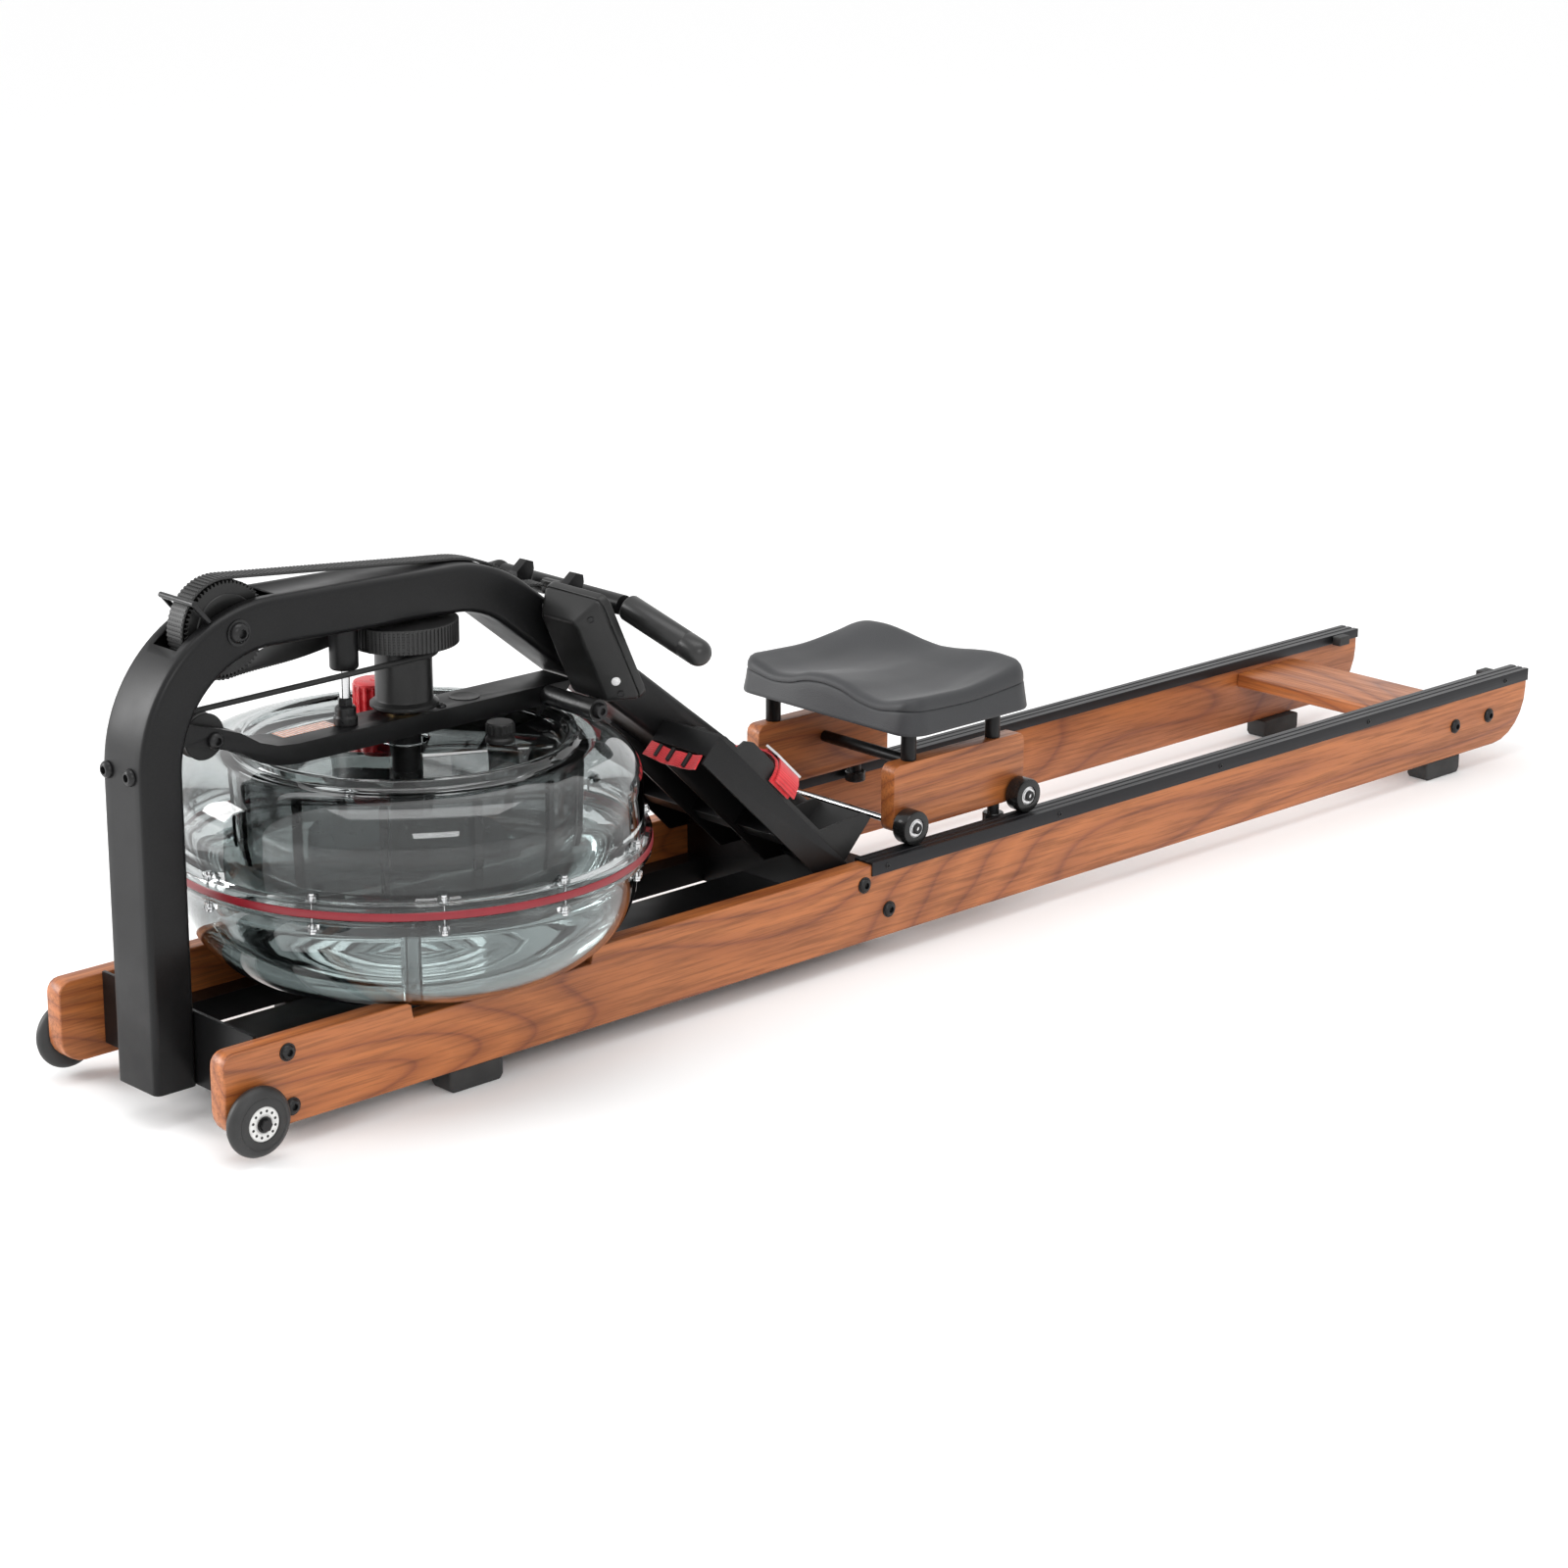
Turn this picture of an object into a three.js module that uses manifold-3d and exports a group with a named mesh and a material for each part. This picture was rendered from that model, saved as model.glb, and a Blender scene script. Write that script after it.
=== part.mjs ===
// Water rowing machine: two wooden rails with a water tank and a bent steel mast at the
// front, and a seat carriage that rolls on the covered tops of the rails.
// Millimetres, +Z up, +X from the tank towards the back of the machine.
// Stations along X are counted from the rails' front ends; the last line moves the whole
// machine so that its box stands centred on the origin, with the feet on z = 0.
import * as THREE from 'three';
import { mergeVertices } from 'three/addons/utils/BufferGeometryUtils.js';
import Module from 'manifold-3d';

const wasm = await Module();
wasm.setup();

// ---------------------------------------------------------------- driving dimensions
const fit = 0.3; // gap between pieces that touch
const rail = { length: 2110, height: 89, thick: 24, outerHalf: 155, noseRadius: 14, tailRadius: 66 };
const foot = { height: 25, length: 70, width: 32, frontStation: 315, rearStation: 1940 };
const cover = { start: 881, skin: 2, top: 2.6, sideDrop: 16, innerLip: 2.6, innerDrop: 12, groove: 1 };
const base = {
  plate: 4, wall: 3, plateTop: 116, tube: 28, beamHalf: 35, beamTop: 66, cross: 862, crossLong: 56,
};
const slat = { station: 1855, length: 120, thick: 18, top: 99 };
const mast = { wide: 70, deep: 50, wall: 2.5, front: 2, bend: 135, beam: 231, overSpool: 2.1 };
const mastTurn = { beamFall: 1.6, strutFall: 38.2 }; // degrees below level
const tank = {
  fromPost: 43.5, wall: 241, upStep: 6.4, rimStep: 14.5, skin: 4, bottom: 98, corner: 95, notch: 121,
};
const tankLevel = { rim: 220, seal: 8, shoulder: 47, lidTop: 334, collarTop: 340.5 };
const bar = { halfWidth: 25, thick: 21, top: 364, rise: 45, end: 541, tube: 17 };
const topPulley = { station: 122, drop: 3, radius: 49, width: 30, axle: 6 };
const idler = { station: 96, z: 387, radius: 24, width: 16, axle: 5 };
const spool = { radius: 55, low: 437, high: 463, hub: 30.5, flange: 36, flangeLow: 370 };
const shaft = { radius: 8, low: 106 };
const impeller = { radius: 107, low: 170, high: 255, blade: 3, hub: 16, blades: 4 };
const chamber = { inside: 63, wall: 4, low: 206, high: 329, ribs: 12, ribWide: 8, ribDeep: 5 };
const knob = { behind: 19, y: 75, radius: 24, height: 34, baseRadius: 42, baseHeight: 10 };
const column = { ahead: 76, radius: 15, rod: 5.5, collar: 11.5, low: 422, collarHigh: 381 };
const belt = { width: 25, thick: 2 };
const cord = { radius: 3 };
const handle = {
  station: 568, lift: 35.4, radius: 11, half: 98, gripRadius: 14.5, gripEnd: 208, droop: 38,
};
const screen = { pivotStation: 522.5, pivotZ: 353, width: 94, hump: 50, tilt: 25 };
const tray = { toe: 679, toeZ: 298, slope: 44, length: 275, depth: 36, half: 125, skin: 3 };
const pedal = { start: 12, end: 268, inner: 40, outer: 121, base: 6, heel: 60, toeWall: 24 };
const strap = { width: 40, thick: 2, station: 118 };
const carriage = { station: 1056, half: 107, board: 21, inside: 5.9, low: 128, high: 207.5 };
const roller = { radius: 20, width: 20, wheelbase: 186, axle: 4 };
const guide = { radius: 12.5, height: 12, offset: 65, stem: 3 };
const seat = { width: 290, length: 204, bottom: 246, edge: 31, post: 9, postSpan: 138 };
const truck = { station: 30, z: 43.6, radius: 36.6, width: 21, bolt: 4 }; // transport wheels

const railTop = foot.height + rail.height;
const railInner = rail.outerHalf - rail.thick;
const coverTop = railTop + fit + cover.top;
const coverInner = railInner - cover.innerLip;
const coverLip = coverTop - cover.innerDrop;
const crossTop = coverLip - 1;
const mastBack = mast.front + mast.deep;
const tankRim = tank.wall + tank.rimStep;
const tankUp = tank.wall + tank.upStep;
const tankX = mastBack + tank.fromPost + tankRim;
const collar = tank.wall - chamber.inside;
const degree = Math.PI / 180;

// ---------------------------------------------------------------- solids and helpers
const machine = new THREE.Group();

function finish(color, roughness, metalness, opacity = 1) {
  const transparent = opacity < 1;
  return new THREE.MeshStandardMaterial({ color, roughness, metalness, opacity, transparent });
}
const oiledAsh = () => finish(0xb5713a, 0.55, 0);
const blackCoat = () => finish(0x1b1c1e, 0.45, 0.4);
const blackPlastic = () => finish(0x161617, 0.5, 0);
const blackRubber = () => finish(0x1f2022, 0.8, 0);
const steel = () => finish(0xb9bcc0, 0.25, 1);
const clearShell = () => finish(0xb9c6c8, 0.08, 0, 0.3);

function add(name, geometry, material) {
  const mesh = new THREE.Mesh(geometry, material);
  mesh.name = name;
  machine.add(mesh);
  return mesh;
}

function solid(geometry) {
  const bare = geometry.index ? geometry.toNonIndexed() : geometry.clone();
  bare.deleteAttribute('normal');
  bare.deleteAttribute('uv');
  const merged = mergeVertices(bare, 1e-4);
  const vertProperties = Float32Array.from(merged.attributes.position.array);
  const triVerts = Uint32Array.from(merged.index.array);
  return new wasm.Manifold(new wasm.Mesh({ numProp: 3, vertProperties, triVerts }));
}

function surface(manifold) {
  const mesh = manifold.getMesh();
  const geometry = new THREE.BufferGeometry();
  geometry.setAttribute('position', new THREE.BufferAttribute(mesh.vertProperties, 3));
  geometry.setIndex(new THREE.BufferAttribute(mesh.triVerts, 1));
  return geometry;
}

const join = (...parts) => surface(parts.map(solid).reduce((whole, part) => whole.add(part)));
const cut = (body, ...tools) =>
  surface(tools.map(solid).reduce((rest, tool) => rest.subtract(tool), solid(body)));

function block(x, y, z) {
  const geometry = new THREE.BoxGeometry(x[1] - x[0], y[1] - y[0], z[1] - z[0]);
  return geometry.translate((x[0] + x[1]) / 2, (y[0] + y[1]) / 2, (z[0] + z[1]) / 2);
}

// outline of [x, z] points or a ready shape, extruded from y[0] to y[1]
function slab(outline, y) {
  const shape = Array.isArray(outline)
    ? new THREE.Shape(outline.map(([x, z]) => new THREE.Vector2(x, z)))
    : outline;
  const depth = y[1] - y[0];
  const geometry = new THREE.ExtrudeGeometry(shape, { depth, bevelEnabled: false, curveSegments: 6 });
  return geometry.rotateX(Math.PI / 2).translate(0, y[1], 0);
}

// outline of [y, z] points, extruded from x[0] to x[1]
function profileAlongX(outline, x) {
  const shape = new THREE.Shape(outline.map(([y, z]) => new THREE.Vector2(y, z)));
  const geometry = new THREE.ExtrudeGeometry(shape, { depth: x[1] - x[0], bevelEnabled: false });
  return geometry.rotateX(Math.PI / 2).rotateZ(Math.PI / 2).translate(x[0], 0, 0);
}

// solid of revolution from [radius, along] points, about Z
function turned(points, sides) {
  const profile = points.map(([r, h]) => new THREE.Vector2(r, h));
  if (points[0][0] > 0) {
    profile.push(profile[0].clone());
  }
  return new THREE.LatheGeometry(profile, sides).rotateX(Math.PI / 2);
}

// the same about an axis parallel to Y at station x and height z
const turnedY = (points, sides, x, z) => turned(points, sides).rotateX(-Math.PI / 2).translate(x, 0, z);

const rodY = (radius, x, z, y, sides = 16) =>
  turnedY([[0, y[0]], [radius, y[0]], [radius, y[1]], [0, y[1]]], sides, x, z);
const rodZ = (radius, x, y, z, sides = 16) =>
  turned([[0, z[0]], [radius, z[0]], [radius, z[1]], [0, z[1]]], sides).translate(x, y, 0);

// straight bar with a flat section laid along a route of { p, across } frames
function ribbon(frames, width, thick) {
  const steps = frames.length - 1;
  const geometry = new THREE.BoxGeometry(1, width, thick, steps, 1, 1).toNonIndexed();
  const position = geometry.attributes.position;
  const spot = new THREE.Vector3();
  for (let i = 0; i < position.count; i += 1) {
    spot.fromBufferAttribute(position, i);
    const at = Math.round((spot.x + 0.5) * steps);
    const before = frames[Math.max(at - 1, 0)].p;
    const after = frames[Math.min(at + 1, steps)].p;
    const along = after.clone().sub(before).normalize();
    const across = frames[at].across.clone().normalize();
    const through = along.clone().cross(across).normalize();
    const place = frames[at].p.clone().addScaledVector(across, spot.y);
    place.addScaledVector(through, spot.z);
    position.setXYZ(i, place.x, place.y, place.z);
  }
  return geometry;
}

// points of an arc in the XZ plane
function arc(cx, cz, radius, from, to, steps) {
  return Array.from({ length: steps + 1 }, (_, i) => {
    const angle = (from + ((to - from) * i) / steps) * degree;
    return [cx + radius * Math.cos(angle), cz + radius * Math.sin(angle)];
  });
}

const bothSides = [['near', -1], ['far', 1]];
const span = (side, inner, outer) => (side < 0 ? [-outer, -inner] : [inner, outer]);

// ---------------------------------------------------------------- wooden rails
// each rail is notched from above and scooped to the tank's round bottom
const notchFloor = tank.bottom - 1;
const scoopRound = arc(tank.wall - tank.corner, tank.bottom + tank.corner, tank.corner + 1, -90, 0, 6);
const scoop = turned([[0, notchFloor], ...scoopRound, [0, scoopRound[6][1]]], 48);
scoop.translate(tankX, 0, 0);
for (const [name, side] of bothSides) {
  const nose = rail.noseRadius;
  const tail = rail.tailRadius;
  const outline = [
    ...arc(nose * 2, foot.height + nose * 2, nose * 2, 270, 180, 5),
    ...arc(nose, railTop - nose, nose, 180, 90, 4),
    [tankX - tank.notch, railTop],
    [tankX - tank.notch + 3, notchFloor],
    [tankX + tank.notch - 3, notchFloor],
    [tankX + tank.notch, railTop],
    [rail.length, railTop],
    ...arc(rail.length - tail, foot.height + tail, tail, 0, -90, 6),
  ].reverse();
  const plank = slab(outline, span(side, railInner, rail.outerHalf));
  add(`rail_${name}`, cut(plank, scoop), oiledAsh());
}

// ---------------------------------------------------------------- track covers
for (const [name, side] of bothSides) {
  const outer = rail.outerHalf + fit;
  const skinTop = railTop + fit;
  const lip = coverInner;
  const y = (value) => side * value;
  const grooves = [lip + 8, lip + 18].flatMap((g) => [
    [y(g), coverTop], [y(g + 1), coverTop - cover.groove],
    [y(g + 3), coverTop - cover.groove], [y(g + 4), coverTop],
  ]);
  const outline = [
    [y(outer + cover.skin), coverTop - cover.sideDrop], [y(outer), coverTop - cover.sideDrop],
    [y(outer), skinTop], [y(lip + cover.skin), skinTop],
    [y(lip + cover.skin), coverLip], [y(lip), coverLip],
    [y(lip), coverTop], ...grooves, [y(outer + cover.skin), coverTop],
  ];
  const loop = side < 0 ? outline.slice().reverse() : outline;
  add(`track_${name}`, profileAlongX(loop, [cover.start, rail.length]), blackCoat());
}

// ---------------------------------------------------------------- rubber feet
for (const [name, side] of bothSides) {
  const y = span(side, rail.outerHalf - 3 - foot.width, rail.outerHalf - 3);
  for (const [place, station] of [['front', foot.frontStation], ['rear', foot.rearStation]]) {
    const half = foot.length / 2;
    const top = foot.height - fit;
    const outline = [[-half + 4, 0], [half - 4, 0], [half, 6], [half, top], [-half, top], [-half, 6]];
    const placed = outline.map(([x, z]) => [x + station, z]);
    add(`foot_${place}_${name}`, slab(placed, y), blackRubber());
  }
}

// ---------------------------------------------------------------- welded base frame
const frameSide = railInner - fit;
const plateX = [mastBack + fit, mastBack + fit + base.plate];
const crossX = [base.cross, base.cross + base.crossLong];
const frameLow = foot.height + 13;
// the tubes are channels open below, so each leaves a hollow to cut
const channelRoom = (x, y, top) =>
  block([x[0] + base.wall, x[1] - base.wall], [y[0] + base.wall, y[1] - base.wall], [0, top - base.wall]);
const beamX = [plateX[1], crossX[0]];
const baseRooms = [
  channelRoom(beamX, [-base.beamHalf, base.beamHalf], base.beamTop),
  channelRoom(crossX, [-frameSide, frameSide], crossTop),
];
const baseParts = [
  block(plateX, [-frameSide, frameSide], [frameLow, base.plateTop]),
  block([plateX[1] - 1, crossX[0] + 1], [-base.beamHalf, base.beamHalf], [frameLow, base.beamTop]),
  block(crossX, [-frameSide, frameSide], [frameLow, crossTop]),
];
for (const [, side] of bothSides) {
  const y = span(side, frameSide - base.tube, frameSide);
  baseParts.push(block([plateX[1] - 1, crossX[0] + 1], y, [frameLow, frameLow + base.tube]));
  baseRooms.push(channelRoom(beamX, y, frameLow + base.tube));
}
add('base_frame', cut(join(...baseParts), ...baseRooms), blackCoat());

const slatX = [slat.station, slat.station + slat.length];
add('rear_slat', block(slatX, [-frameSide, frameSide], [slat.top - slat.thick, slat.top]), oiledAsh());

// ---------------------------------------------------------------- bent mast
// centre line as [x, z] points: post, bend, falling beam, bend, falling strut
const mastMid = mast.front + mast.deep / 2;
const bendX = mastMid + mast.bend;
const beamSlope = Math.tan(mastTurn.beamFall * degree);
const beamDrop = (tankX + spool.radius - bendX) * beamSlope;
const beamMid = spool.high + mast.overSpool + mast.deep / 2 + beamDrop;
const postTop = beamMid - mast.bend;
const pulleyZ = beamMid - topPulley.drop;
function mastLine() {
  const points = [[mastMid, foot.height + 13]];
  points.push(...arc(bendX, postTop, mast.bend, 180, 90 - mastTurn.beamFall, 12));
  const fall = mastTurn.beamFall * degree;
  const [x, z] = points[points.length - 1];
  const beamEnd = [x + mast.beam * Math.cos(fall), z - mast.beam * Math.sin(fall)];
  const centre = [beamEnd[0] - mast.bend * Math.sin(fall), beamEnd[1] - mast.bend * Math.cos(fall)];
  points.push(...arc(...centre, mast.bend, 90 - mastTurn.beamFall, 90 - mastTurn.strutFall, 5));
  const strutFall = mastTurn.strutFall * degree;
  const [bx, bz] = points[points.length - 1];
  const strut = (bz - frameLow) / Math.sin(strutFall);
  points.push([bx + strut * Math.cos(strutFall), frameLow]);
  return points;
}
const mastPoints = mastLine();

// the height of the mast's upper surface above a station behind the front bend
function mastTop(station) {
  const half = mast.deep / 2;
  for (let i = 13; i < mastPoints.length - 1; i += 1) {
    const [x0, z0] = mastPoints[i];
    const [x1, z1] = mastPoints[i + 1];
    const slope = (z1 - z0) / (x1 - x0);
    const lift = half * Math.hypot(1, slope);
    if (station <= x1 + (half * -slope) / Math.hypot(1, slope) || i === mastPoints.length - 2) {
      return z0 + slope * (station - x0) + lift;
    }
  }
  return 0;
}

// the mast's back face where the front bend starts, and its underside behind the rear bend
const mastBackAt = (z) => bendX - Math.sqrt((mast.bend - mast.deep / 2) ** 2 - (z - postTop) ** 2);
const strutUnder = (z) => {
  const [x0, z0] = mastPoints[mastPoints.length - 1];
  const fall = mastTurn.strutFall * degree;
  return x0 + (z0 - z) / Math.tan(fall) - mast.deep / 2 / Math.sin(fall);
};

const handleZ = mastTop(handle.station) + handle.lift;

// closed side outline of a bar of the given depth along the mast's centre line
function mastOutline(depth, startCut, endCut) {
  const last = mastPoints.length - 1;
  const upper = [];
  const lower = [];
  mastPoints.forEach(([x, z], i) => {
    const [ax, az] = mastPoints[Math.max(i - 1, 0)];
    const [bx, bz] = mastPoints[Math.min(i + 1, last)];
    const size = Math.hypot(bx - ax, bz - az);
    const t = [(bx - ax) / size, (bz - az) / size];
    const shift = i === 0 ? startCut : i === last ? -endCut : 0;
    const half = depth / 2;
    upper.push([x + t[0] * shift - t[1] * half, z + t[1] * shift + t[0] * half]);
    lower.push([x + t[0] * shift + t[1] * half, z + t[1] * shift - t[0] * half]);
  });
  return [...lower, ...upper.reverse()];
}
const mastHalf = mast.wide / 2;
const boreDeep = mast.deep - 2 * mast.wall;
const slotHalf = topPulley.width / 2 + 5;
const slotFront = topPulley.station - topPulley.radius - 24;
const slotRear = topPulley.station + topPulley.radius + 3;
const footEnd = crossX[1] - 8;
add('mast', cut(
  slab(mastOutline(mast.deep, 0, 0), [-mastHalf, mastHalf]),
  slab(mastOutline(boreDeep, -5, -50), [-mastHalf + mast.wall, mastHalf - mast.wall]),
  block([footEnd, rail.length], [-100, 100], [0, 300]),
  block([base.cross - 100, rail.length], [-100, 100], [0, crossTop + fit]),
  block([slotFront, slotRear - 5], [-slotHalf, slotHalf], [pulleyZ - 100, pulleyZ + 100]),
  block([slotFront, slotRear + 3], [-slotHalf, slotHalf], [pulleyZ - 100, pulleyZ]),
  rodY(topPulley.axle + fit, topPulley.station, pulleyZ, [-mastHalf - 5, mastHalf + 5]),
), blackCoat());

// ---------------------------------------------------------------- front pulleys
const pulleyHalf = topPulley.width / 2;
add('top_pulley', turnedY([
  [topPulley.axle + fit, -pulleyHalf], [topPulley.radius - 1.5, -pulleyHalf],
  [topPulley.radius, -pulleyHalf + 2], [topPulley.radius, pulleyHalf - 2],
  [topPulley.radius - 1.5, pulleyHalf], [topPulley.axle + fit, pulleyHalf],
], 32, topPulley.station, pulleyZ), blackPlastic());
const axleHalf = mastHalf + 1;
add('top_pulley_axle', turnedY([
  [0, -axleHalf - 6], [8, -axleHalf - 6], [11, -axleHalf - 3], [11, -axleHalf],
  [topPulley.axle, -axleHalf], [topPulley.axle, axleHalf], [11, axleHalf],
  [11, axleHalf + 3], [8, axleHalf + 6], [0, axleHalf + 6],
], 20, topPulley.station, pulleyZ), steel());

const idlerHalf = idler.width / 2;
add('idler_pulley', turnedY([
  [idler.axle + fit, -idlerHalf], [idler.radius, -idlerHalf], [idler.radius - 2, 0],
  [idler.radius, idlerHalf], [idler.axle + fit, idlerHalf],
], 24, idler.station, idler.z), blackPlastic());
const barHalf = bar.halfWidth;
add('idler_axle', turnedY([
  [0, -barHalf - 8], [7, -barHalf - 8], [9, -barHalf - 5], [9, -barHalf - 1],
  [idler.axle, -barHalf - 1], [idler.axle, barHalf + 1], [9, barHalf + 1],
  [9, barHalf + 6], [0, barHalf + 6],
], 16, idler.station, idler.z), steel());

// ---------------------------------------------------------------- tank bar over the tank
const barBottom = bar.top - bar.thick;
const barSweep = [[104, bar.rise - 12], [128, 24], [150, 10], [172, 2.5], [196, 0]];
const barFront = (z) => [mastBackAt(z + bar.rise) + fit, z + bar.rise];
const barOutline = [
  barFront(barBottom), ...barSweep.map(([x, lift]) => [x, barBottom + lift]),
  [bar.end, barBottom], [strutUnder(bar.top) - 1, bar.top],
  ...barSweep.map(([x, lift]) => [x, bar.top + lift]).reverse(), barFront(bar.top),
];
const forkX = [0, idler.station + idler.radius + 4];
const bearingTube = rodZ(bar.tube, tankX, 0, [impeller.high + 3, barBottom + 2], 24);
add('tank_bar', cut(
  join(slab(barOutline, [-barHalf, barHalf]), bearingTube),
  block(forkX, [-idlerHalf - 2, idlerHalf + 2], [300, 500]),
  rodY(idler.axle + fit, idler.station, idler.z, [-40, 40]),
  rodZ(shaft.radius + fit, tankX, 0, [200, 400], 24),
), blackCoat());

const columnTop = mastTop(tankX - column.ahead) - mast.deep / Math.cos(mastTurn.beamFall * degree) - 1;
add('tie_column', turned([
  [0, bar.top + fit], [column.collar, bar.top + fit], [column.collar, column.collarHigh],
  [column.rod, column.collarHigh], [column.rod, column.low], [column.radius, column.low],
  [column.radius, columnTop], [0, columnTop],
], 20).translate(tankX - column.ahead, 0, 0), steel());

// ---------------------------------------------------------------- water tank
const rimLow = tankLevel.rim;
const sealTop = rimLow + fit + tankLevel.seal;
const tankSides = 40;
const corner = tank.corner;
const cornerLow = arc(tank.wall - corner, tank.bottom + corner, corner, -90, 0, 6);
const cornerIn = arc(tank.wall - corner, tank.bottom + corner, corner - tank.skin, 0, -90, 6);
add('tank_lower', turned([
  [0, tank.bottom], ...cornerLow, [tank.wall, rimLow - 8], [tankRim, rimLow - 7], [tankRim, rimLow],
  [tank.wall - tank.skin, rimLow], ...cornerIn, [0, tank.bottom + tank.skin],
], tankSides).translate(tankX, 0, 0), clearShell());

add('tank_seal', turned([
  [tankRim - 9, rimLow + fit], [tankRim + 0.5, rimLow + fit], [tankRim + 0.5, sealTop],
  [tankRim - 9, sealTop],
], tankSides).translate(tankX, 0, 0), finish(0xb01f2e, 0.5, 0));

const upLow = sealTop + fit;
const round = tankLevel.shoulder;
const shoulderTop = tankLevel.lidTop - 2;
const shoulderMid = [tankUp - round, shoulderTop - round];
const shaftHole = shaft.radius + fit + 11;
const lidCut = [tankLevel.lidTop - 20, tankLevel.lidTop + 20];
const tankHole = rodZ(knob.radius + fit, tankX + knob.behind, knob.y, lidCut, 24);
const upperShell = turned([
  [tankRim, upLow], [tankRim, upLow + 7], [tankUp, upLow + 8],
  ...arc(...shoulderMid, round, 0, 90, 6), [collar + 6, shoulderTop], [collar + 1, tankLevel.collarTop],
  [collar - 9, tankLevel.collarTop], [collar - 11, tankLevel.lidTop], [shaftHole, tankLevel.lidTop],
  [shaftHole, tankLevel.lidTop - tank.skin], [shoulderMid[0], tankLevel.lidTop - tank.skin - 2],
  ...arc(...shoulderMid, round - tank.skin, 90, 0, 6), [tankUp - tank.skin, upLow],
], tankSides).translate(tankX, 0, 0);
add('tank_upper', cut(upperShell, tankHole), clearShell());

const chamberIn = collar - chamber.wall;
const chamberParts = [turned([
  [chamberIn, chamber.low], [collar, chamber.low],
  [collar, chamber.high - 1], [chamberIn, chamber.high - 1],
], tankSides)];
for (let i = 0; i < chamber.ribs; i += 1) {
  const rib = block([collar - 2, collar + chamber.ribDeep],
    [-chamber.ribWide / 2, chamber.ribWide / 2], [chamber.low + 2, chamber.high - 4]);
  chamberParts.push(rib.rotateZ(((i + 0.5) * 2 * Math.PI) / chamber.ribs));
}
add('inner_chamber', join(...chamberParts).translate(tankX, 0, 0), clearShell());

const knobLow = tankLevel.lidTop + fit;
add('knob_base', turned([
  [knob.radius + fit, knobLow], [knob.baseRadius, knobLow], [knob.baseRadius, knobLow + knob.baseHeight - 2],
  [knob.baseRadius - 2, knobLow + knob.baseHeight], [knob.radius + fit, knobLow + knob.baseHeight],
], 28).translate(tankX + knob.behind, knob.y, 0), blackPlastic());
// the knob is the closed top of a red tube that reaches down into the water
const tubeLow = impeller.high + 5;
const knobTop = knobLow + knob.baseHeight + knob.height;
add('resistance_knob', turned([
  [knob.radius - 4, tubeLow], [knob.radius, tubeLow], [knob.radius, knobTop - 3],
  [knob.radius - 3, knobTop], [0, knobTop], [0, knobTop - 8], [knob.radius - 4, knobTop - 8],
], 28).translate(tankX + knob.behind, knob.y, 0), finish(0xd0121f, 0.35, 0));

add('fill_plug', turned([
  [0, tankLevel.lidTop + fit], [14, tankLevel.lidTop + fit], [14, tankLevel.lidTop + 9],
  [15.5, tankLevel.lidTop + 10], [15.5, tankLevel.lidTop + 20], [13.5, tankLevel.lidTop + 22],
  [0, tankLevel.lidTop + 22],
], 20).translate(tankX + 64, -77, 0), blackPlastic());

// ---------------------------------------------------------------- rotor and spool
add('rotor_shaft', rodZ(shaft.radius, tankX, 0, [shaft.low, spool.high + 1], 20), steel());
const bladeParts = [rodZ(impeller.hub, 0, 0, [impeller.low, impeller.high], 20)];
for (let i = 0; i < impeller.blades; i += 1) {
  const soft = 34;
  const outline = [
    [5, impeller.low + 2], [impeller.radius - 12, impeller.low + 2], [impeller.radius, impeller.low + 24],
    ...arc(impeller.radius - soft, impeller.high - soft, soft, 0, 90, 4), [5, impeller.high],
  ];
  const blade = slab(outline, [-impeller.blade / 2, impeller.blade / 2]);
  bladeParts.push(blade.rotateZ((i * 2 * Math.PI) / impeller.blades + 0.72));
}
const impellerBore = rodZ(shaft.radius + fit, 0, 0, [impeller.low - 5, impeller.high + 5], 20);
add('impeller', cut(join(...bladeParts), impellerBore).translate(tankX, 0, 0), blackPlastic());

const sleeve = shaft.radius + fit;
add('belt_spool', turned([
  [sleeve, spool.flangeLow], [spool.flange, spool.flangeLow], [spool.flange, spool.flangeLow + 5],
  [spool.hub, spool.flangeLow + 8], [spool.hub, spool.low], [spool.radius, spool.low],
  [spool.radius, spool.high], [sleeve, spool.high],
], 36).translate(tankX, 0, 0), blackPlastic());

// ---------------------------------------------------------------- drive belt and recoil cord
const sideways = new THREE.Vector3(0, 1, 0);
const flat = ([x, z]) => ({ p: new THREE.Vector3(x, 0, z), across: sideways });
const wrap = topPulley.radius + belt.thick / 2 + fit;
const beltRear = handle.station - handle.radius - 9;
const overMast = [496, 480, 464, 448, 432, 416, 400];
const beltRun = [
  [beltRear - 1, handleZ + 6], ...overMast.map((x) => [x, mastTop(x) + 2]),
].map(flat);
beltRun.push(...arc(topPulley.station, pulleyZ, wrap, 84, 270, 24).map(flat));

// a line from the mid-plane that touches a drum round the tank's axis, then part of a turn on it;
// side +1 goes round the far side first, -1 round the near side
function ontoDrum(station, radius, drumZ, side, sweep, steps) {
  const apart = tankX - station;
  const lean = Math.asin(radius / apart);
  const run = Math.sqrt(apart ** 2 - radius ** 2);
  const touch = new THREE.Vector3(station + run * Math.cos(lean), side * run * Math.sin(lean), drumZ);
  const points = [touch];
  const start = side * (90 * degree + lean);
  for (let i = 1; i <= steps; i += 1) {
    const angle = start - (side * sweep * degree * i) / steps;
    const [x, y] = [tankX + radius * Math.cos(angle), radius * Math.sin(angle)];
    points.push(new THREE.Vector3(x, y, drumZ));
  }
  return points;
}
const spoolSide = spool.radius + belt.thick / 2 + fit;
const spoolMid = (spool.low + spool.high) / 2;
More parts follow.
